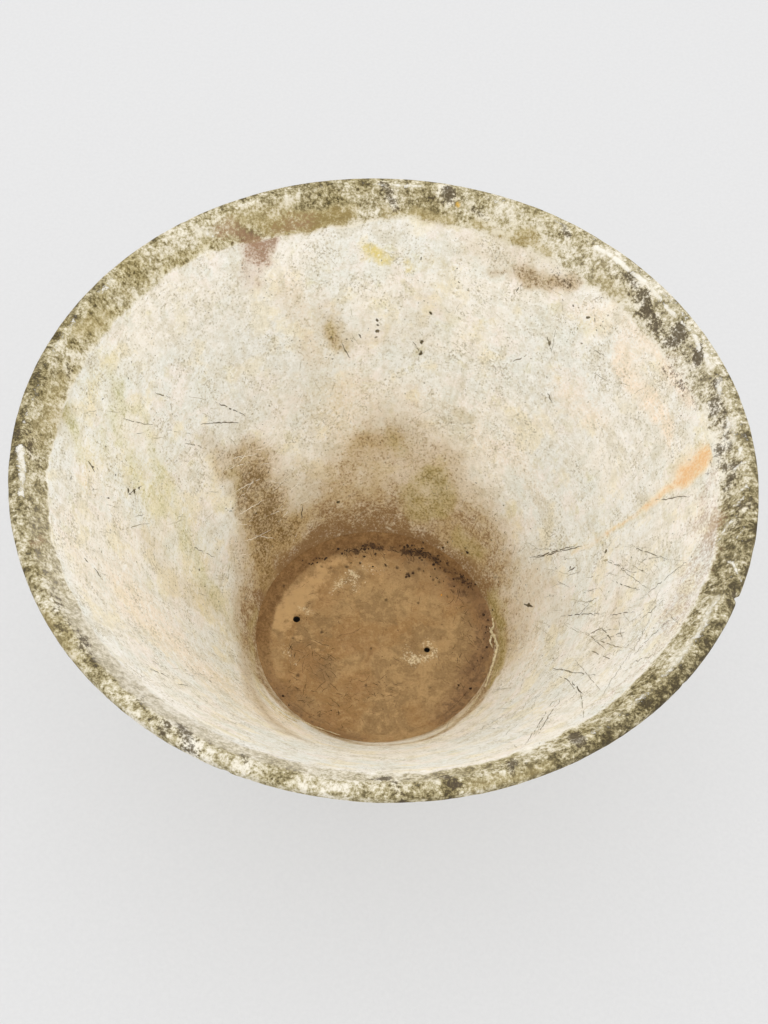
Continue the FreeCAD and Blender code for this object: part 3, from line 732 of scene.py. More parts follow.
# A smooth film of algae, at the foot of the far side above all
RIM_FILM_STROKES = round_rim(
    (8, 6, 0.85, 248, 34, 255, 37, 262, 35), (6, 6, 0.6, 268, 30, 278, 31), (7, 7, 0.5, 283, 31, 292, 35),
    (6, 7, 0.5, 291, 34, 296, 37), (8, 7, 0.45, 190, 40, 194, 48), (7, 7, 0.45, 209, 22, 215, 28),
    (9, 9, 0.4, 242, 18, 252, 22), (6, 6, 0.4, 142, 4, 152, 5), (6, 6, 0.4, 60, 5, 72, 6),
    (9, 8, 0.35, 306, 30, 312, 34), (8, 8, 0.35, 185, 28, 200, 28),
)
LICHEN_STROKES = round_rim((1.5, 0.7, 1.0, 279.2, 16, 279.4, 18))

# The way in from the lip in mm: over the level land, then down the slope, which is longer than it is wide,
# then down the wall; and where the lip's outer edge begins, in metres
LAND_END = 10.5
SLOPE_PER_METRE = 1470
SLOPE_END = 37.7
WALL_RISE_SHARE = 0.88
LIP_EDGE_REACH = 0.2985
LIP_EDGE_TOP = 0.3325


def in_from_lip(points):
    """How far in from the lip, in mm along the surface, points of rim and wall lie; below 0 outside."""
    reach, height = np.hypot(points[:, 0], points[:, 1]), points[:, 2]
    land = (RIM_RADIUS - reach) * MM
    slope = LAND_END + (CREST[0] - reach) * SLOPE_PER_METRE
    wall = SLOPE_END + (CREASE[1] - height) * MM / WALL_RISE_SHARE
    place = np.where(reach > CREST[0], land, np.where(reach > CREASE[0] - 0.0001, slope, wall))
    return np.where((reach > LIP_EDGE_REACH) & (height < LIP_EDGE_TOP), (height - RIM_TOP) * MM, place)


# Where the rim's cover changes from land to crest, to slope and to foot, and where its grey slope begins and
# ends, in mm in from the lip; the half width of its white crest in mm
ZONE_CHANGES = ((7, 13), (13, 22), (22, 34))
GREY_START, GREY_END = (10, 17), (39, 37)
WHITE_SPREAD = 3.5


def rim_masks(points, uneven):
    """The masks of what grows on the rim and runs over its seam on to the wall."""
    angle = rim_angle(points) + 1.5 * smooth_noise(points, 0.015, 401)
    land, crest, slope, foot, white, end, soft, grey, yellow = (
        np.interp(angle, RIM_ZONES[:, 0], RIM_ZONES[:, column]) for column in range(1, 10))
    inward = in_from_lip(points)
    wavy = inward + 1.8 * rough_noise(points, 0.014, 3, 411) + 1.2 * smooth_noise(points, 0.005, 421)
    cover = land
    for change, zone in zip(ZONE_CHANGES, (crest, slope, foot)):
        cover = cover + (zone - cover) * ease_between(*change, wavy)
    ends = ease_between(end + soft, end - soft, wavy)
    ridge = np.interp(angle, WHITE_CREST[:, 0], WHITE_CREST[:, 1])
    on_slope = ease_between(*GREY_START, wavy) * ease_between(*GREY_END, inward)
    crest_line = 0.6 * white * np.exp(-((wavy - ridge) / WHITE_SPREAD) ** 2)
    return {
        "growth": cover * ends,
        "white": np.maximum(painted(calmed(uneven, points, 0.3), RIM_WHITE_STROKES), crest_line),
        "dark": painted(calmed(uneven, points, 0.6), RIM_DARK_STROKES),
        "grey": grey * on_slope,
        "olive_tint": yellow * ends,
        "red": painted(uneven, RIM_RED_STROKES),
        "film": painted(uneven, RIM_FILM_STROKES),
        "orange": painted(points, LICHEN_STROKES),
    }


# The film of soil at the foot of the wall: where it starts, the height over which it thins out on the near
# side, how much more that is on the far side, its strength, how sharply it ends, and its patches
FILM_START, FILM_RISE, FILM_FAR_RISE, FILM_STRENGTH, FILM_SHARPNESS = 0.02, 0.016, 0.024, 0.8, 1.3
FILM_PATCHES = ((0.3, 0.03, 3, 31),)
# Pits where the wall is stained: their depth, and the values of a noise between which they deepen
PIT_DEPTH, PIT_LIMITS = 0.0004, (0.45, 0.8)
# How near to the line of its inner face a point of the wall counts as inside
FACE_SLACK = 0.001


def add_wall():
    corners = (
        (FOOT_INSIDE, 0.0, 0.004, 0.004),
        (FOOT_OUTSIDE, 0.003, 0.0085, 0.0130),
        (WALL_TOP, 0.0, 0.003, 0.003),
        (SEAM, 0.0, 0.0026, 0.0017),
        (FLOOR_CORNER, 0.0, 0.005, 0.005),
    )
    ring = Turning(section(corners), WALL_STEPS)
    points, normals = ring.points, ring.normals
    height = points[:, 2]
    reach = np.hypot(points[:, 0], points[:, 1])
    inside = np.abs(reach - FLOOR_CORNER[0] - WALL_LEAN * (height - FLOOR_CORNER[1])) < FACE_SLACK
    inside &= height > FLOOR_CORNER[1] + 0.0005
    shown = inside | (height < SKIRT_INSIDE[1] - 0.002)
    fade = ease_between(SEAM[1], SEAM[1] - SEAM_FADE, height) * ease_between(*FOOT_FADE, height)
    relief = layered_noise(points, WALL_RELIEF)
    uneven = ragged(points)
    masks = {name: painted(uneven, strokes) for name, strokes in WALL_STROKES.items()}
    masks["rust"] = painted(calmed(uneven, points, 0.35), RUST_STROKES)
    far_side = (points[:, 1] / reach + 1) / 2
    rise = np.clip((uneven[:, 2] - FILM_START) / (FILM_RISE + FILM_FAR_RISE * far_side), 0, None)
    film = FILM_STRENGTH * np.exp(-rise ** FILM_SHARPNESS) * (0.8 + layered_noise(points, FILM_PATCHES))
    masks["earth_and_shade"] = 1 - (1 - masks["earth_and_shade"]) * (1 - film)
    masks.update(rim_masks(points, uneven))
    masks = {name: np.clip(values, 0, 1) * inside for name, values in masks.items()}
    masks["outside"] = (~inside).astype(float)
    spots = ease_between(*PIT_LIMITS, rough_noise(points, 0.02, 4, 41))
    relief -= PIT_DEPTH * spots * np.maximum(masks["earth_and_shade"], masks["olive"])
    points = points + normals * (relief * fade * shown)[:, None]
    piece = add_piece("weathered_wall", hand_made(points), ring.faces(), WALL_CEMENT, masks)
    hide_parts("cone_wall")
    return piece


# Nicks in the lip, as (depth m, half width m, angle round the rim)
NICKS = ((0.0034, 0.0058, 15.8), (0.0007, 0.003, 33.5), (0.0008, 0.005, 112.0), (0.0007, 0.005, 236.0))
# Where a nick begins, as distance from the axis and height, and the depth from which its inside is painted
# dark as painted shade
NICK_REACH, NICK_FOOT, SHADED_NICK_DEPTH = 0.2920, 0.312, 0.002
# The back of the collar, which the wall hides: the way it faces in the section, and its heights
BACK_WAY, BACK_HEIGHTS = (-0.47, -0.88), (0.2855, 0.316)
# Distance from the axis at which the outside begins; distance and height from which the lip is smoother
OUTSIDE_REACH = 0.272
SMOOTH_LIP = (0.2945, 0.322)
# How far the collar's roughness may go in and out, how much dark growth adds to it, and the outside's growth
RELIEF_LIMITS, DARK_RELIEF = (-0.002, 0.0018), 0.0004
OUTSIDE_GROWTH = ((0.2, 0.04, 3, 45),)


def add_rim():
    corners = (
        (SEAM_EDGE, 0.0, 0.005, 0.005),
        (WALL_TOP, 0.0, 0.005, 0.005),
        (SKIRT_INSIDE, 0.002, 0.003, 0.003),
        (SKIRT_OUTSIDE, 0.004, 0.0028, 0.0020),
        (EDGE_FOOT, 0.005, 0.0015, 0.0015),
        (LIP_CORNER, 0.0035, 0.0015, 0.0015),
        (CREST, 0.0085, 0.0016, 0.0016),
        (CREASE, 0.002, 0.0006, 0.0006),
    )
    ring = Turning(section(corners), RIM_STEPS)
    points, normals = ring.points, ring.normals
    uneven = ragged(points)
    height = points[:, 2]
    reach = np.hypot(points[:, 0], points[:, 1])
    low, high = BACK_HEIGHTS
    faces_wall = section_normals(ring.section) @ BACK_WAY > 0.3
    hidden = ring.per_row(faces_wall & (ring.section[:, 1] < high) & (ring.section[:, 1] > low))
    outside = (height < EDGE_FOOT[1]) & (normals[:, 2] < 0.2) & (reach > OUTSIDE_REACH)
    masks = {name: values * ~outside for name, values in rim_masks(points, uneven).items()}
    masks["outside"] = outside.astype(float)
    masks["growth"] = np.maximum(masks["growth"], (0.5 + layered_noise(points, OUTSIDE_GROWTH)) * outside)
    relief = layered_noise(points, RIM_RELIEF)
    relief += DARK_RELIEF * masks["dark"] * np.abs(rough_noise(points, 0.005, 2, 71))
    relief *= 1 - 0.75 * ease_between(SMOOTH_LIP[0], LIP_EDGE_REACH, reach) * (height > SMOOTH_LIP[1])
    relief *= np.where(outside, 1, ease_between(SEAM[1], SEAM[1] + SEAM_FADE, height))
    relief = np.where(hidden, 0.0, np.clip(relief, *RELIEF_LIMITS))
    points = points + normals * relief[:, None]
    outward = points * (1.0, 1.0, 0.0) / reach[:, None]
    for deep, wide, angle in NICKS:
        mark = photo_point(*rim_pixel(angle, 4.0))
        around = np.abs(np.arctan2(points[:, 1], points[:, 0]) - math.atan2(mark[1], mark[0])) * RIM_RADIUS
        cut = ease_between(wide, 0.2 * wide, around) * ease_between(NICK_REACH, LIP_EDGE_REACH, reach)
        cut = cut * ease_between(NICK_FOOT, EDGE_FOOT[1], height)
        points = points - outward * (deep * cut)[:, None]
        # A deep nick's hollow goes into the dark mask: painted shade inside it.
        masks["dark"] = np.maximum(masks["dark"], 0.9 * cut * (deep > SHADED_NICK_DEPTH))
    piece = add_piece("lichened_rim", hand_made(points), ring.faces(), RIM_CEMENT, masks)
    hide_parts("rim_collar")


def bead_height(reach):
    """The height of the corner bead's hollow face at a distance from the axis."""
    return BEAD_CENTRE[1] - np.sqrt(np.maximum(BEAD_RADIUS ** 2 - (reach - BEAD_CENTRE[0]) ** 2, 0))


# Marks on the silted floor and the bead round it
SILT_PALE_STROKES = (
    (13, 9, 0.85, 281, 620, 295, 600), (11, 8, 0.85, 295, 600, 318, 578), (7, 7, 0.85, 318, 578, 342, 561),
    (9, 13, 0.3, 283, 632, 292, 652), (5, 5, 0.4, 362, 560, 385, 566, 378, 580),
    (10, 10, 0.3, 300, 640, 320, 650), (14, 12, 0.3, 400, 690, 380, 715),
)
SILT_DARK_STROKES = (
    (1.6, 2.4, 0.7, 300, 567, 318, 560, 345, 553),
    (6, 6, 0.42, 338, 553, 370, 547, 402, 551, 437, 560, 472, 584),
    (3.0, 3.0, 0.9, 345, 551, 370, 545, 384, 547), (2.5, 3.0, 0.5, 382, 547, 405, 552),
    (3.5, 3.0, 0.9, 405, 552, 420, 552, 437, 560), (3.5, 4.0, 0.8, 440, 566, 462, 577, 474, 591),
    (2.5, 2.5, 0.6, 404, 578, 416, 572),
)
SILT_EDGE_STROKES = (
    (14, 12, 0.75, 460, 574, 478, 594, 485, 622, 483, 655, 470, 688, 448, 716),
    (6, 7, 0.5, 268, 672, 285, 702, 315, 726, 360, 739), (8, 8, 0.35, 400, 556, 440, 570, 470, 600),
    (10, 9, 0.3, 285, 690, 300, 706, 330, 722), (8, 8, 0.25, 395, 576, 430, 586, 455, 602),
    (9, 8, 0.2, 345, 640, 372, 655), (8, 9, 0.3, 303, 652, 318, 662, 326, 676),
    (7, 8, 0.25, 350, 690, 375, 683),
)
SILT_CHALK_STROKES = (
    (3.5, 5, 0.7, 410, 657, 420, 659, 433, 655, 431, 646, 423, 644), (4, 5, 0.5, 408, 648, 412, 662),
    (4, 5, 0.5, 338, 586, 350, 577, 355, 590), (2.5, 3, 0.9, 350, 570, 354, 575),
    (3, 4, 0.4, 330, 592, 342, 584), (4, 4, 0.6, 302, 607, 308, 613), (5, 6, 0.4, 360, 566, 378, 570),
    (3, 4, 0.4, 282, 648, 296, 664),
)
SILT_GREEN_STROKES = (
    (8, 6, 0.9, 492, 592, 499, 620, 498, 656, 486, 692),
    (5, 5, 0.5, 256, 620, 255, 650, 266, 685, 285, 708), (5, 6, 0.35, 380, 598, 392, 604),
)
# Single dark specks on the floor, as (half width mm, pixel)
SILT_SPECKS = (
    (1.6, (298, 675)), (1.3, (284, 586)), (1.5, (347, 567)), (1.7, (397, 568)), (1.3, (386, 600)),
    (1.2, (418, 603)), (1.4, (322, 632)), (1.1, (331, 568)), (1.1, (322, 567)), (1.2, (386, 566)),
    (1.1, (366, 685)), (1.0, (293, 638)), (1.3, (433, 580)), (1.2, (439, 582)), (1.2, (453, 592)),
    (1.2, (463, 592)), (1.5, (419, 569)), (1.0, (371, 648)), (1.0, (430, 687)), (1.0, (457, 688)),
    (1.0, (303, 703)), (1.1, (310, 717)), (1.0, (361, 729)),
)


# The darker band round the far edge of the floor: the line across the floor over which it starts, and its
# distance from the axis
BAND_START, BAND_REACH = (-0.02, 0.045), (0.0990, 0.1034)


def silt_masks(points):
    uneven = calmed(ragged(points), points, 0.6)
    specks = np.zeros(len(points))
    for size, pixel in SILT_SPECKS:
        away = np.linalg.norm(points - photo_point(*pixel), axis=1) * MM
        specks = np.maximum(specks, ease_between(size + 0.7, size - 0.5, away))
    reach = np.hypot(points[:, 0], points[:, 1]) + 0.0012 * smooth_noise(points, 0.008, 131)
    band = ease_between(*BAND_START, points[:, 1] - 0.5 * points[:, 0]) * ease_between(*BAND_REACH, reach)
    return {
        "pale": painted(uneven, SILT_PALE_STROKES), "dark": painted(uneven, SILT_DARK_STROKES),
        "chalk": painted(uneven, SILT_CHALK_STROKES), "green": painted(uneven, SILT_GREEN_STROKES),
        "edge": painted(uneven, SILT_EDGE_STROKES), "specks": specks, "band": band,
    }


def add_bead():
    hollow = []
    for share in np.linspace(0, 1, BEAD_ROWS, endpoint=False):
        reach = BEAD_TOP[0] + (BEAD_TOE[0] - BEAD_TOP[0]) * share
        hollow.append((reach, float(bead_height(reach))))
    base = list(spaced(BEAD_TOE, FLOOR_CORNER, 0.003, 0.003))
    back = list(spaced(FLOOR_CORNER, BEAD_TOP, 0.003, 0.003))
    ring = Turning(np.array(base + back + hollow), BEAD_STEPS)
    points, normals = ring.points, ring.normals
    face = ring.per_row(np.arange(ring.rows) > len(base) + len(back))
    relief = face * layered_noise(points, BEAD_RELIEF)
    masks = silt_masks(points)
    points = points + normals * relief[:, None]
    piece = add_piece("worn_bead", hand_made(points), ring.faces(), SILT, masks)
    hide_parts("corner_bead")


# On the silt: the depth of its ripples, the height of its pale flakes and the depth of its specks
RIPPLE_DEPTH, PALE_RISE, SPECK_DEPTH = 0.00012, 0.0005, 0.0009


def add_silt():
    angle = np.arange(SILT_STEPS) * 2 * math.pi / SILT_STEPS
    reach = np.linspace(0.0, SILT_EDGE, SILT_RINGS)[1:]
    flat = np.stack([np.outer(reach, np.cos(angle)), np.outer(reach, np.sin(angle))], axis=2).reshape(-1, 2)
    across = np.linalg.norm(flat, axis=1)
    place = np.column_stack([flat, np.full(len(flat), SILT_TOP)])
    lap = bead_height(across) + SILT_LAP
    on_bead = across > BEAD_TOE[0]
    top = np.maximum(SILT_TOP, np.where(on_bead, lap, 0))
    masks = silt_masks(place)
    fade = ease_between(SILT_EDGE, SILT_EDGE - SILT_FADE, across)
    relief = layered_noise(place, SILT_RELIEF)
    ripples = RIPPLE_DEPTH * smooth_noise(place * (1.0, 0.25, 1.0), 0.003, 121)
    relief += ripples + PALE_RISE * masks["pale"] - SPECK_DEPTH * masks["specks"]
    upper = np.column_stack([flat, top + relief * fade])
    lower = np.column_stack([flat, np.maximum(SILT_FOOT, np.where(on_bead, lap - SILT_LAP_THICK, 0))])
    points = np.vstack([upper, [[0, 0, SILT_TOP]], lower, [[0, 0, SILT_FOOT]]])
    count = len(upper)
    row = (np.arange(SILT_RINGS - 2) * SILT_STEPS)[:, None]
    next_row = row + SILT_STEPS
    column = np.arange(SILT_STEPS)[None, :]
    follow = np.roll(column, -1, axis=1)
    corners = [row + column, next_row + column, next_row + follow, row + follow]
    quads = np.stack(corners, axis=2).reshape(-1, 4)
    faces = quads.tolist() + (quads[:, ::-1] + count + 1).tolist()
    last = (SILT_RINGS - 2) * SILT_STEPS
    for step in range(SILT_STEPS):
        after = (step + 1) % SILT_STEPS
        faces.append((step, after, count))
        faces.append((count + 1 + after, count + 1 + step, 2 * count + 1))
        faces.append((last + after, last + step, last + step + count + 1, last + after + count + 1))
    for name in masks:
        masks[name] = np.concatenate([masks[name], [0], masks[name], [0]])
    piece = add_piece("silt_floor", hand_made(points), faces, SILT, masks)
    for (x, y), radius in zip(DRAINS, SILT_OPENINGS):
        bpy.ops.mesh.primitive_cylinder_add(
            vertices=DRAIN_SIDES, radius=radius, depth=0.02, location=(x, y, 0.015))
        cutter = bpy.context.object
        hole = piece.modifiers.new("drain", "BOOLEAN")
        hole.object = cutter
        hole.operation = "DIFFERENCE"
        hole.solver = "EXACT"
        with bpy.context.temp_override(object=piece, active_object=piece):
            bpy.ops.object.modifier_apply(modifier=hole.name)
        bpy.data.objects.remove(cutter)
    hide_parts("silt_crust")
    return piece


# Fine dark scribbles on the silt, laid out like the wall's hairlines, and its flecks
SILT_LINES = (
    (70, (288, 640, 332, 690), 70, 60, (4, 12), 0.1), (36, (345, 678, 395, 702), 0, 50, (4, 12), 0.3),
    (80, (455, 585, 490, 690), 70, 40, (4, 12), 0.1), (30, (300, 580, 360, 640), -30, 60, (4, 14), 0.6),
    (50, (280, 690, 350, 732), 30, 40, (4, 12), 0.1), (40, (360, 580, 470, 720), 10, 80, (4, 12), 0.7),
    (50, (405, 546, 440, 562), 70, 40, (3, 9), 0.0), (40, (343, 541, 386, 554), 70, 50, (3, 9), 0.0),
    (24, (445, 565, 478, 598), 60, 40, (3, 8), 0.0),
)
SILT_FLECKS = (
    (26, (365, 548), (12, 3.5), 1.1, 0.1), (34, (420, 553), (11, 4), 1.1, 0.1),
    (30, (460, 578), (10, 8), 1.0, 0.1), (40, (320, 560), (18, 5), 0.6, 0.2),
    (70, (375, 640), (60, 50), 0.5, 0.5), (30, (482, 640), (7, 36), 0.8, 0.2),
    (10, (348, 580), (9, 7), 0.7, 2.0), (8, (420, 658), (7, 4), 0.7, 2.0),
    (30, (300, 715), (28, 12), 0.6, 0.3), (12, (300, 620), (5, 5), 0.6, 0.3),
    (50, (420, 590), (50, 20), 0.6, 0.3),
)

# Loose bits: crumbs as (half size mm, tone, pixel), where tone 0 is soil, 1 chalk and 2 a lichen flake
CRUMBS = (
    (1.1, 1, (352, 573)), (1.0, 2, (441.5, 595)), (1.9, 0, (409, 576)), (1.7, 0, (413, 573)),
    (1.2, 0, (406, 577)),
)
# Lines of the photograph along which soil crumbs lie, as (how many, spread mm, then x and y of pixels)
CRUMB_LINES = (
    (26, 2.0, 303, 566, 320, 560, 345, 552), (44, 3.0, 343, 550, 368, 545, 384, 547),
    (60, 3.5, 404, 550, 420, 551, 438, 560), (34, 3.0, 436, 560, 462, 575, 474, 590),
    (30, 9.0, 330, 560, 380, 558, 430, 570, 470, 600), (22, 5.0, 482, 600, 487, 630, 482, 660, 468, 695),
    (16, 5.0, 270, 680, 290, 704, 330, 728),
)
# Dry roots and the edges of flaked render round the floor, as (half width mm, tone, then x and y of pixels)
ROOTS = (
    (1.4, 1, 493, 618, 494, 626, 491, 632, 496, 640, 498, 647, 495, 658, 491, 671, 485, 687),
    (1.0, 1, 490, 628, 493, 634, 490, 641, 493, 648), (0.5, 1, 480, 693, 474, 702, 468, 711),
    (0.9, 1, 256, 683, 260, 692, 267, 701, 275, 709, 284, 716, 297, 722),
    (0.7, 1, 264, 694, 272, 704, 283, 712, 300, 720, 318, 728, 340, 735),
    (0.4, 1, 270, 706, 281, 716, 292, 722), (0.35, 0, 372, 549, 380, 552, 392, 550, 402, 554),
    (0.35, 0, 345, 556, 352, 549, 360, 551, 369, 546),
    (0.4, 0, 408, 556, 414, 549, 421, 553, 428, 552, 436, 561), (0.35, 0, 303, 706, 306, 698, 305, 693),
)


# Crumbs: the seed of their draws, the height they are dropped from, and how far their middles stand up for
# each mm of their size
CRUMB_SEED = 17
CRUMB_DROP = 0.05
CRUMB_RAISE = 0.0003
# Roots: the sides of their section, how much and how often they swell, and how far their middles stand up
ROOT_SIDES = 6
ROOT_SWELL, ROOT_SWELL_STEP = 0.35, 1.7
ROOT_RAISE = 0.3


def lump(middle, size, seed):
    """A rough crumb: a small ball of twelve corners, squashed and pushed about."""
    golden = (1 + math.sqrt(5)) / 2
    corners = np.array([(-1, golden, 0), (1, golden, 0), (-1, -golden, 0), (1, -golden, 0),
                        (0, -1, golden), (0, 1, golden), (0, -1, -golden), (0, 1, -golden),
                        (golden, 0, -1), (golden, 0, 1), (-golden, 0, -1), (-golden, 0, 1)]) / 1.9
    faces = ((0, 11, 5), (0, 5, 1), (0, 1, 7), (0, 7, 10), (0, 10, 11), (1, 5, 9), (5, 11, 4), (11, 10, 2),
             (10, 7, 6), (7, 1, 8), (3, 9, 4), (3, 4, 2), (3, 2, 6), (3, 6, 8), (3, 8, 9), (4, 9, 5),
             (2, 4, 11), (6, 2, 10), (8, 6, 7), (9, 8, 1))
    draw = np.random.default_rng(seed)
    shape = corners * (1 + 0.35 * draw.uniform(-1, 1, (12, 1))) * draw.uniform(0.6, 1.3, 3) * (1, 1, 0.7)
    turn = draw.uniform(0, 2 * math.pi)
    cos, sin = math.cos(turn), math.sin(turn)
    return middle + shape @ np.array(((cos, sin, 0), (-sin, cos, 0), (0, 0, 1))) * size, faces


def add_crumbs():
    draw = np.random.default_rng(CRUMB_SEED)
    bits = [(size, tone, photo_point(*pixel)) for size, tone, pixel in CRUMBS]
    for count, spread, *path in CRUMB_LINES:
        knots = np.array([photo_point(*pixel) for pixel in pairs(path)])
        for place in draw.uniform(0, len(knots) - 1, count):
            step = min(int(place), len(knots) - 2)
            middle = knots[step] + (knots[step + 1] - knots[step]) * (place - step)
            size = draw.uniform(0.3, 1.0) ** 2 * 1.5
            bits.append((size, 0, middle + draw.normal(0, spread / MM, 3) * (1, 1, 0)))
    points, faces, tones = [], [], []
    for index, (size, tone, middle) in enumerate(bits):
        hit = SOLIDS.ray_cast(Vector(middle) + Vector((0, 0, CRUMB_DROP)), Vector((0, 0, -1)))
        middle = np.array(hit[0]) + np.array(hit[1]) * size * CRUMB_RAISE
        corners, sides = lump(middle, size / MM, index)
        start = sum(len(block) for block in points)
        points.append(corners)
        tones += [tone] * len(corners)
        faces += [[start + corner for corner in side] for side in sides]
    add_piece("soil_crumbs", np.vstack(points), faces, BITS, {"tone": np.array(tones, float)})


def root_line(path, index):
    """Closely spaced points along a line of pixels, which wander a little."""
    knots = np.array([photo_point(*pixel) for pixel in pairs(path)])
    spans = [np.linspace(start, end, 6, endpoint=False) for start, end in zip(knots, knots[1:])]
    line = np.vstack(spans + [knots[-1:]])
    wander = [smooth_noise(line, 0.004, 300 + index * 3 + axis) for axis in range(3)]
    return line + 0.0008 * np.stack(wander, axis=1)


def add_roots():
    ring = np.arange(ROOT_SIDES) * 2 * math.pi / ROOT_SIDES
    points, faces, tones = [], [], []
    for index, (half_width, tone, *path) in enumerate(ROOTS):
        line = root_line(path, index)
        start = sum(len(block) for block in points)
        for step, (middle, heading) in enumerate(zip(line, np.gradient(line, axis=0))):
            hit = SOLIDS.find_nearest(Vector(middle))
            normal = np.array(hit[1])
            side = np.cross(normal, heading)
            side /= np.linalg.norm(side)
            taper = math.sin(math.pi * (0.08 + 0.84 * step / (len(line) - 1))) ** 0.6
            size = half_width / MM * taper * (1 + ROOT_SWELL * math.sin(step * ROOT_SWELL_STEP + index))
            middle = np.array(hit[0]) + normal * size * ROOT_RAISE
            points.append(middle + size * (np.outer(np.cos(ring), side) + np.outer(np.sin(ring), normal)))
        for step in range(len(line) - 1):
            for turn in range(ROOT_SIDES):
                low, after = start + step * ROOT_SIDES, (turn + 1) % ROOT_SIDES
                faces.append((low + turn, low + after, low + ROOT_SIDES + after, low + ROOT_SIDES + turn))
        faces.append(tuple(range(start + ROOT_SIDES - 1, start - 1, -1)))
        faces.append(tuple(range(start + (len(line) - 1) * ROOT_SIDES, start + len(line) * ROOT_SIDES)))
        tones += [tone] * (len(line) * ROOT_SIDES)
    add_piece("dry_roots", np.vstack(points), faces, BITS, {"tone": np.array(tones, float)})


# How far marks lie above the piece, and how far a solid may stand before it and not hide them, in metres
MARK_LIFT = 0.00012
MARK_COVER = 0.004
# A scratch: pixels from step to step, its bow as a share of its length, its waver in pixels, and how much
# of it is broken off
SCRATCH_STEP, SCRATCH_BOW, SCRATCH_WAVER, SCRATCH_BREAKS = 2.2, 0.016, 0.4, 0.16


class Marks:
    """Thin marks lying on a piece: scratches as ribbons and flecks as small uneven patches."""

    def __init__(self, piece, low, high, seed):
        corners = [vertex.co for vertex in piece.data.vertices]
        self.tree = BVHTree.FromPolygons(corners, [face.vertices for face in piece.data.polygons])
        self.low, self.high = low, high
        self.draw = np.random.default_rng(seed)
        self.points, self.faces, self.tones = [], [], []

    def hit(self, x, y):
        """The place and normal of the piece at a pixel, or None where something else shows there."""
        across, above = pixel_slopes(float(x), float(y))
        direction = (across * RIGHT + above * UP - BACK).normalized()
        place, normal, _, away = self.tree.ray_cast(CAMERA_PLACE, direction)
        if place is None or not self.low < place.z < self.high:
            return None
        first = SOLIDS.ray_cast(CAMERA_PLACE, direction)[3]
        if first is None or first < away - MARK_COVER:
            return None
        if normal.dot(direction) > 0:
            normal = -normal
        return np.array(place) + MARK_LIFT * np.array(normal), np.array(normal)

    def scratch(self, start, end, half_width, tone):
        start, end = np.array(start, float), np.array(end, float)
        length = np.linalg.norm(end - start)
        side = np.array((start[1] - end[1], end[0] - start[0])) / length
        bow = self.draw.normal(0, SCRATCH_BOW * length)
        shares = np.linspace(0, 1, max(4, int(length / SCRATCH_STEP)) + 1)
        before = None
        for share in shares:
            sway = bow * 4 * share * (1 - share) + self.draw.normal(0, SCRATCH_WAVER)
            spot = self.hit(*(start + (end - start) * share + side * sway))
            if spot is None:
                before = None
                continue
            width = half_width / MM * (0.3 + 0.7 * math.sin(math.pi * share)) * self.draw.uniform(0.5, 1.25)
            if before is not None and self.draw.uniform() > SCRATCH_BREAKS:
                self.ribbon(before, (spot, width), tone)
            before = (spot, width)

    def ribbon(self, first, second, tone):
        (start, normal), start_width = first
        (end, _), end_width = second
        side = np.cross(normal, end - start)
        side /= max(np.linalg.norm(side), 1e-9)
        index = len(self.points)
        self.points += [start - side * start_width, start + side * start_width]
        self.points += [end + side * end_width, end - side * end_width]
        self.faces.append((index, index + 1, index + 2, index + 3))
        self.tones += [tone] * 4

    def fleck(self, x, y, half_size, tone):
        spot = self.hit(x, y)
        if spot is None:
            return
        place, normal = spot
        along = np.cross(normal, self.draw.normal(size=3))
        along /= np.linalg.norm(along)
        side = np.cross(normal, along)
        count = int(self.draw.integers(6, 9))
        turns = np.arange(count) * 2 * math.pi / count
        size = half_size / MM * self.draw.uniform(0.45, 1.4, count)
        stretch = self.draw.uniform(0.25, 0.85)
        index = len(self.points)
        self.points += [place + radius * (math.cos(turn) * along + stretch * math.sin(turn) * side)
                        for radius, turn in zip(size, turns)]
        self.faces.append(tuple(range(index, index + count)))
        self.tones += [tone] * count

    def strew_lines(self, rows):
        for count, (left, top, right, bottom), heading, spread, (short, long), tone in rows:
            for _ in range(count):
                x, y = self.draw.uniform(left, right), self.draw.uniform(top, bottom)
                turn = math.radians(self.draw.normal(heading, spread))
                length = self.draw.uniform(short, long)
                end = (x + length * math.cos(turn), y + length * math.sin(turn))
                self.scratch((x, y), end, self.draw.uniform(0.12, 0.26), max(0, self.draw.normal(tone, 0.15)))

    def strew_flecks(self, rows):
        for count, (x, y), (wide, tall), half_size, tone in rows:
            for _ in range(count):
                size = half_size * self.draw.uniform(0.3, 1.0) ** 2 * 1.7
                shade = max(0, self.draw.normal(tone + 0.1, 0.25))
                self.fleck(self.draw.normal(x, wide), self.draw.normal(y, tall), size, shade)

    def add(self, name, material):
        add_piece(name, np.array(self.points), self.faces, material, {"tone": np.array(self.tones)})


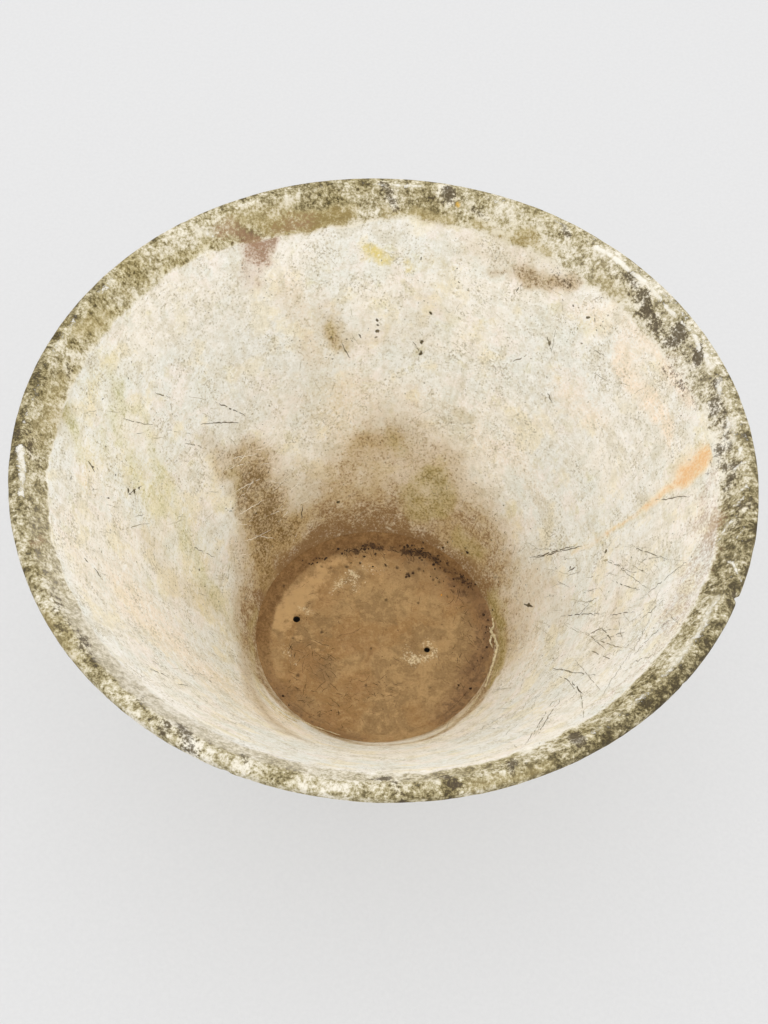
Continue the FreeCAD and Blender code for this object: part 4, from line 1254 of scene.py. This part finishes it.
class Cement(Graph):
    """Bare cement with its noises, and the layers of dirt and growth that lie on it."""

    def __init__(self, name, colour):
        super().__init__(name, colour)
        self.broad = self.noise(0.11, 3, 0.55)
        self.patch = self.noise(0.036, 5, 0.62, distortion=0.4)
        self.mottle = self.noise(0.011, 5, 0.68)
        self.crust = self.noise(0.005, 5, 0.76)
        self.fine = self.noise(0.0022, 3, 0.75)
        inputs = {"Vector": self.place, "Rotation": (0.5, 0.5, 0.9), "Scale": (1.0, 0.22, 1.0)}
        self.brushed = self.noise(0.005, 4, 0.7, self.add("ShaderNodeMapping", inputs).outputs[0])

    def drawn_out(self, around, rest):
        """A place that changes with the angle round the axis and, by rest, from spot to spot."""
        ring = self.vector("MULTIPLY", self.vector("NORMALIZE", self.level()), (around, around, 0.0))
        return self.vector("ADD", ring, self.vector("MULTIPLY", self.place, rest))

    def run_down(self):
        """Streaks that run down the slope of the cone."""
        return self.noise(0.01, 5, 0.62, self.drawn_out(0.22, (0.0, 0.0, 0.1)))

    def combed(self):
        """Noise drawn out towards the middle of the planter, as the growth on its rim is."""
        return self.noise(0.004, 4, 0.7, self.drawn_out(0.16, (0.45, 0.45, 0.45)))

    def bare(self):
        """Cement with its slow changes of colour."""
        colour = self.mix(self.ramp(self.broad, 0.42, 0.6), (239, 238, 230), (247, 240, 227))
        sallow = self.noise(0.034, 4, 0.6, self.shifted(0.13, 0.83, 0.41))
        mossy = self.noise(0.017, 3, 0.6, self.shifted(0.19, 0.47, 0.91))
        mossy = self.times(self.ramp(mossy, 0.58, 0.7), self.ramp(self.fine, 0.36, 0.6, 0.4, 1.0))
        return self.coats(colour, (
            (self.ramp(self.patch, 0.5, 0.64), 0.6, (249, 237, 227)),
            (self.ramp(sallow, 0.52, 0.64), 0.65, (243, 231, 197)),
            (self.ramp(sallow, 0.47, 0.36), 0.5, (230, 232, 222)),
            (mossy, 0.5, (212, 204, 154)),
        ))

    def worn(self, colour):
        """The grain of the cement: dull and bright brush strokes, grit, specks and pits."""
        dull, light = (211, 202, 177), (255, 253, 248)
        gather = self.noise(0.026, 4, 0.65, self.shifted(0.37, 0.11, 0.53))
        speck = self.noise(0.0021, 2, 0.6, self.shifted(0.71, 0.29, 0.05))
        share = self.ramp(gather, 0.42, 0.62, 0.45, 1.0)
        grit = self.math("ADD", self.fine, self.swing(self.crust, 0.8))
        specks = self.math("ADD", speck, self.ramp(gather, 0.44, 0.66, 0.0, 0.15))
        pits = self.math("ADD", self.fine, self.ramp(self.patch, 0.6, 0.38, 0.0, 0.1))
        return self.coats(colour, (
            (self.ramp(self.patch, 0.45, 0.33), 0.5, dull),
            (self.times(self.ramp(self.brushed, 0.5, 0.64), share), 0.6, dull),
            (self.ramp(self.brushed, 0.46, 0.34), 0.5, light),
            (self.times(self.ramp(self.mottle, 0.52, 0.66), share), 0.55, dull),
            (self.times(self.ramp(self.fine, 0.51, 0.64), share), 0.5, dull),
            (self.ramp(self.fine, 0.47, 0.34), 0.42, light),
            (self.times(self.ramp(grit, 0.57, 0.72), share), 0.45, (168, 156, 124)),
            (self.ramp(specks, 0.68, 0.78), 0.55, (146, 130, 94)),
            (self.ramp(pits, 0.66, 0.75), 0.45, (140, 126, 92)),
        ))

    def shaken(self, mask, fine, crust, mottle):
        """A mask with some of each noise added to it."""
        for noise, amount in ((self.fine, fine), (self.crust, crust), (self.mottle, mottle)):
            mask = self.math("ADD", mask, self.swing(noise, amount))
        return mask

    def grainy(self, mask, fine, crust, mottle, low, high, start):
        """A mask with a grainy edge, and nothing where it is 0."""
        grains = self.ramp(self.shaken(mask, fine, crust, mottle), low, high)
        return self.times(grains, self.ramp(mask, 0.0, start))

    def tint(self, colour, mask, strength, paint):
        """A thin wash of colour with a soft uneven edge."""
        cover = self.ramp(self.shaken(mask, 0.8, 0.6, 0.8), 0.1, 1.0)
        return self.coats(colour, ((cover, strength, paint),))

    def stain_and_shade(self, colour, mask, film, thin, strength, solid):
        """A stain, and painted shade laid on the same way: a thin film of one colour under a grainy coat of
        another.
        """
        cloudy = self.times(self.ramp(mask, 0.0, 0.65), self.ramp(self.mottle, 0.34, 0.6, 0.75, 1.0))
        grains = self.grainy(mask, 1.9, 1.1, 0.5, 0.38, 1.0, 0.2)
        return self.coats(colour, ((cloudy, film, thin), (grains, strength, solid)))

    def weathered(self, colour):
        """The outside, with dirt that runs down from under the rim and soil splashed on its foot."""
        outside = self.mask("outside")
        height = self.vector("DOT_PRODUCT", self.place, (0.0, 0.0, 1.0))
        run = self.times(self.ramp(self.run_down(), 0.42, 0.7), self.ramp(height, 0.02, 0.29, 0.2, 1.0))
        splash = self.shaken(self.ramp(height, 0.0, 0.075, 0.75, 0.0), 1.6, 1.2, 1.0)
        return self.coats(colour, (
            (self.times(outside, self.ramp(self.patch, 0.34, 0.7)), 0.55, (190, 180, 154)),
            (self.times(outside, run), 0.4, (142, 131, 102)),
            (self.times(outside, self.ramp(splash, 0.3, 0.95)), 0.7, (150, 124, 88)),
        ))

    def growth(self, colour):
        """Lichen and algae from thin cream to thick dark olive, with white and near black places."""
        cover = self.mask("growth")
        thick = self.shaken(cover, 1.3, 1.4, 1.3)
        thick = self.math("ADD", thick, self.swing(self.combed(), 0.7))
        thick = self.math("ADD", thick, self.swing(self.patch, 0.8))
        grown = self.tones(thick, (
            (0.08, (240, 234, 219)), (0.26, (226, 218, 200)), (0.42, (200, 190, 160)),
            (0.58, (164, 152, 116)), (0.76, (117, 106, 75)), (0.95, (80, 71, 52)),
        ))
        tinted = self.times(self.mask("olive_tint"), self.ramp(self.patch, 0.4, 0.6, 0.2, 0.9))
        grown = self.mix(tinted, grown, self.mix(0.7, grown, (214, 202, 134), "MULTIPLY"))
        colour = self.mix(self.ramp(cover, 0.02, 0.3), colour, grown)
        colour = self.stain_and_shade(colour, self.mask("film"), 0.55, (190, 172, 122), 0.7, (144, 124, 72))
        colour = self.tint(colour, self.mask("grey"), 0.5, (200, 192, 180))
        return self.coats(colour, (
            (self.grainy(self.mask("red"), 1.5, 1.0, 0.0, 0.1, 0.9, 0.2), 0.75, (164, 130, 102)),
            # The dark coat: dark growth, and painted shade inside the deepest nick of the lip.
            (self.grainy(self.mask("dark"), 1.8, 2.0, 1.2, 0.34, 0.84, 0.15), 0.82, (86, 75, 60)),
            (self.grainy(self.mask("white"), 1.4, 2.6, 1.2, 0.45, 0.9, 0.15), 0.85, (246, 242, 231)),
            (self.mask("orange"), 0.8, (232, 186, 84)),
        ))

    def done(self, colour, gloss_noise, dullest, mottle_share, depth):
        """The finished cement; its bump is part mottle and part crust."""
        roughness = self.ramp(gloss_noise, 0.3, 0.7, dullest - 0.14, dullest)
        crust = self.times(self.crust, 1 - mottle_share)
        height = self.math("ADD", self.times(self.mottle, mottle_share), crust)
        return self.finish(self.growth(self.weathered(colour)), roughness, height, depth)


# Washes of the wall as (mask, strength, paint), and stains as (mask, film, thin paint, strength, solid paint)
WALL_WASHES = (
    ("pale", 0.7, (251, 247, 240)), ("ash", 0.5, (224, 221, 213)),
    ("warm", 0.9, (252, 232, 207)), ("yellow", 1.0, (229, 211, 132)),
)
# The purple and earth stains hold painted shade as well.
WALL_STAINS_AND_SHADE = (
    ("green", 0.45, (220, 214, 164), 0.6, (158, 152, 92)),
    ("purple_shade", 0.8, (214, 193, 174), 0.8, (150, 118, 92)),
    ("rust", 0.75, (246, 212, 160), 0.5, (236, 172, 102)),
    ("earth_and_shade", 0.92, (198, 174, 132), 0.9, (134, 101, 62)),
    ("olive", 0.75, (190, 163, 114), 0.85, (112, 85, 44)),
    ("moss", 0.65, (188, 170, 112), 0.8, (128, 110, 54)),
)


def wall_material():
    cement = Cement("weathered_cement", (226, 218, 198))
    colour = cement.bare()
    for name, strength, paint in WALL_WASHES:
        colour = cement.tint(colour, cement.mask(name), strength, paint)
    streaks = cement.ramp(cement.run_down(), 0.5, 0.66)
    colour = cement.worn(cement.coats(colour, ((streaks, 0.35, (214, 205, 181)),)))
    for name, *layers in WALL_STAINS_AND_SHADE:
        colour = cement.stain_and_shade(colour, cement.mask(name), *layers)
    return cement.done(colour, cement.mottle, 0.96, 0.7, 0.0018)


def rim_material():
    cement = Cement("lichened_cement", (190, 180, 152))
    return cement.done(cement.worn(cement.bare()), cement.crust, 0.98, 0.6, 0.0024)


def silt_material():
    graph = Graph("dried_silt", (160, 125, 83))
    broad = graph.noise(0.05, 4, 0.6)
    film = graph.noise(0.026, 4, 0.6, distortion=0.6)
    fibre = graph.noise(0.009, 4, 0.6, distortion=1.6)
    mottle = graph.noise(0.007, 5, 0.7)
    grain = graph.noise(0.0022, 4, 0.75)
    lines = graph.ramp(graph.math("ABSOLUTE", graph.math("SUBTRACT", fibre, 0.5)), 0.004, 0.028, 1.0, 0.0)
    lines = graph.times(lines, graph.ramp(mottle, 0.42, 0.58))
    pale, edge, green, band, chalk, dark, specks = (
        graph.mask(name) for name in ("pale", "edge", "green", "band", "chalk", "dark", "specks"))
    band_brown = graph.mix(graph.ramp(mottle, 0.4, 0.6), (122, 89, 53), (142, 108, 68))
    colour = graph.mix(graph.ramp(broad, 0.4, 0.6), (158, 123, 79), (179, 147, 102))
    colour = graph.coats(colour, (
        (graph.ramp(film, 0.49, 0.6), 0.75, (145, 117, 79)),
        (graph.ramp(film, 0.45, 0.34), 0.5, (182, 144, 98)),
        (lines, 0.45, (116, 86, 54)),
        (graph.ramp(mottle, 0.5, 0.64), 0.6, (188, 155, 108)),
        (graph.ramp(mottle, 0.46, 0.34), 0.6, (134, 103, 66)),
        (graph.ramp(grain, 0.5, 0.7), 0.42, (122, 92, 58)),
        (graph.ramp(grain, 0.47, 0.3), 0.4, (192, 158, 112)),
        (graph.broken(pale, mottle, 2.4, 0.25, 0.95), 0.85, (199, 163, 114)),
        (edge, 0.65, (129, 94, 64)),
        (graph.broken(edge, mottle, 3.0, 0.45, 0.9), 0.5, (100, 74, 54)),
        (graph.times(lines, edge), 0.85, (78, 56, 42)),
        (graph.broken(green, grain, 1.4, 0.2, 0.9), 0.75, (130, 115, 70)),
        (band, 0.9, band_brown),
        (graph.times(band, graph.ramp(grain, 0.5, 0.66)), 0.6, (92, 66, 38)),
        (graph.times(band, graph.ramp(grain, 0.46, 0.34)), 0.5, (166, 134, 88)),
        (graph.broken(chalk, grain, 3.6, 0.36, 0.9), 0.85, (224, 205, 168)),
        (dark, 0.35, (110, 80, 50)),
        (graph.broken(dark, mottle, 3.0, 0.62, 0.95), 0.8, (62, 44, 30)),
        (specks, 0.75, (70, 50, 34)),
    ))
    height = graph.math("ADD", graph.times(mottle, 0.5), graph.times(grain, 0.5))
    return graph.finish(colour, graph.ramp(mottle, 0.3, 0.7, 0.86, 0.98), height, 0.0012)


def mark_material(name, darkest, faint, pale):
    """Thin marks whose own tone runs from darkest at 0 to faint at 1, with pale ones at 2."""
    graph = Graph(name, darkest)
    tone = graph.mask("tone")
    shade = graph.math("ADD", tone, graph.swing(graph.noise(0.002, 3, 0.7), 0.8))
    colour = graph.mix(graph.ramp(shade, 0.0, 1.0), darkest, faint)
    colour = graph.mix(graph.ramp(tone, 1.4, 1.6), colour, pale)
    graph.feed(graph.shader.inputs["Base Color"], colour)
    graph.shader.inputs["Roughness"].default_value = 0.92
    graph.shader.inputs["Specular IOR Level"].default_value = MATT_SPECULAR
    return graph.material


def bits_material():
    """Loose bits: black soil, chalky flakes or orange lichen, by the piece's own tone."""
    graph = Graph("loose_bits", (60, 44, 32))
    grain = graph.noise(0.0016, 3, 0.7)
    tone = graph.mask("tone")
    soil = graph.mix(graph.ramp(grain, 0.4, 0.6), (46, 33, 24), (80, 60, 42))
    chalk = graph.mix(graph.ramp(grain, 0.4, 0.6), (226, 212, 176), (196, 178, 136))
    colour = graph.mix(graph.ramp(tone, 0.4, 0.6), soil, chalk)
    colour = graph.mix(graph.ramp(tone, 1.4, 1.6), colour, (222, 158, 60))
    return graph.finish(colour, graph.ramp(grain, 0.3, 0.7, 0.8, 0.95), grain, 0.0004)


def disc_material():
    """The floor disc's bare cement, with its drain holes painted black: painted shade in the deep holes, laid
    on as dark soil.
    """
    graph = Graph("drained_cement", (196, 186, 162))
    mottle = graph.noise(0.011, 5, 0.68)
    grain = graph.noise(0.0026, 3, 0.7)
    colour = graph.mix(graph.ramp(mottle, 0.4, 0.64), (206, 198, 176), (178, 166, 138))
    level = graph.level()
    coats = [(graph.ramp(grain, 0.5, 0.7), 0.4, (150, 138, 110))]
    # Black round each drain: painted shade of the deep hole, laid on as dark soil.
    for x, y in DRAINS:
        away = graph.vector("DISTANCE", level, (x, y, 0.0))
        coats.append((graph.ramp(away, 0.0048, 0.0062, 1.0, 0.0), 0.95, (34, 26, 20)))
    colour = graph.coats(colour, coats)
    return graph.finish(colour, graph.ramp(mottle, 0.3, 0.7, 0.84, 0.97), mottle, 0.0012)


# The studio: the backdrop's colour on screen, the floor's half side, its drop under the foot, and the lamps
BACKDROP = (233, 233, 233)
STAGE_SIDE = 6.0
STAGE_DROP = 0.0004
LAMP_SIZE = 3.4
LAMP_AIM = Vector((0, 0, 0.2))
LAMPS = (("soft_box", 13.0, (-0.25, 0.55, 2.8)), ("soft_fill", 8.0, (0.2, -1.1, 2.5)))
SEEN_BY = ("Is Camera Ray", "Is Glossy Ray", "Is Transmission Ray")


def seen_directly(tree):
    """1 for rays from the camera, reflections and what shows through glass, 0 for light."""
    path = tree.nodes.new("ShaderNodeLightPath")
    seen = path.outputs[SEEN_BY[0]]
    for ray in SEEN_BY[1:]:
        larger = tree.nodes.new("ShaderNodeMath")
        larger.operation = "MAXIMUM"
        tree.links.new(seen, larger.inputs[0])
        tree.links.new(path.outputs[ray], larger.inputs[1])
        seen = larger.outputs[0]
    return seen


def floor_material():
    graph = Graph("studio_floor", (230, 230, 230))
    weave = graph.noise(0.004, 2, 0.5)
    colour = graph.mix(graph.ramp(weave, 0.3, 0.7), (217, 217, 218), (221, 221, 222))
    graph.finish(colour, 0.9, weave, 0.0002)
    glow = graph.add("ShaderNodeEmission", {"Color": linear(*BACKDROP), "Strength": 1.0}).outputs[0]
    inputs = {0: graph.times(seen_directly(graph.tree), 0.5), 1: graph.shader.outputs[0], 2: glow}
    output = next(node for node in graph.tree.nodes if node.type == "OUTPUT_MATERIAL")
    graph.feed(output.inputs["Surface"], graph.add("ShaderNodeMixShader", inputs).outputs[0])
    return graph.material


def add_stage():
    mesh = bpy.data.meshes.new("studio_floor")
    corners = [(x * STAGE_SIDE, y * STAGE_SIDE, -STAGE_DROP) for x, y in ((-1, -1), (1, -1), (1, 1), (-1, 1))]
    mesh.from_pydata(corners, [], [(0, 1, 2, 3)])
    mesh.materials.append(floor_material())
    floor = bpy.data.objects.new("studio_floor", mesh)
    scene.collection.objects.link(floor)


def add_light():
    world = bpy.data.worlds.new("soft_room")
    world.use_nodes = True
    tree = world.node_tree
    light = tree.nodes["Background"]
    light.inputs["Color"].default_value = (1.0, 1.0, 1.0, 1.0)
    light.inputs["Strength"].default_value = 1.0
    shown = tree.nodes.new("ShaderNodeBackground")
    shown.inputs["Color"].default_value = linear(*BACKDROP)
    either = tree.nodes.new("ShaderNodeMixShader")
    for socket, source in enumerate((seen_directly(tree), light.outputs[0], shown.outputs[0])):
        tree.links.new(source, either.inputs[socket])
    output = next(node for node in tree.nodes if node.type == "OUTPUT_WORLD")
    tree.links.new(either.outputs[0], output.inputs["Surface"])
    scene.world = world
    for name, energy, place in LAMPS:
        lamp = bpy.data.lights.new(name, "AREA")
        lamp.shape = "DISK"
        lamp.size = LAMP_SIZE
        lamp.energy = energy
        box = bpy.data.objects.new(name, lamp)
        box.location = place
        box.rotation_euler = (LAMP_AIM - box.location).to_track_quat("-Z", "Y").to_euler()
        scene.collection.objects.link(box)


# The heights between which marks lie on wall and silt, the seeds of their draws, and the blots' enlargement
WALL_MARK_HEIGHTS, WALL_MARK_SEED = (0.030, 0.3075), 5
SILT_MARK_HEIGHTS, SILT_MARK_SEED = (0.0140, 0.0185), 6
BLOT_SCALE = 1.9

scene.view_settings.view_transform = "Standard"
WALL_CEMENT = wall_material()
RIM_CEMENT = rim_material()
SILT = silt_material()
BITS = bits_material()
SCRATCH_DIRT = mark_material("scratch_dirt", (84, 74, 52), (190, 178, 148), (250, 244, 230))
ROOT_DIRT = mark_material("root_dirt", (62, 44, 30), (132, 102, 68), (222, 206, 172))
add_camera()
add_stage()
add_light()
wall = add_wall()
add_rim()
add_bead()
silt = add_silt()
wall_marks = Marks(wall, *WALL_MARK_HEIGHTS, WALL_MARK_SEED)
for width, tone, start, end in SCRATCHES:
    wall_marks.scratch(start, end, width, tone)
for size, tone, pixel in BLOTS:
    wall_marks.fleck(*pixel, BLOT_SCALE * size, tone)
wall_marks.strew_lines(HAIRLINES)
wall_marks.strew_flecks(FLECKS)
wall_marks.add("wall_scratches", SCRATCH_DIRT)
silt_marks = Marks(silt, *SILT_MARK_HEIGHTS, SILT_MARK_SEED)
silt_marks.strew_lines(SILT_LINES)
silt_marks.strew_flecks(SILT_FLECKS)
silt_marks.add("silt_scribbles", ROOT_DIRT)
add_crumbs()
add_roots()
floor_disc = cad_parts["floor_disc"]
floor_disc.data.materials.clear()
floor_disc.data.materials.append(disc_material())
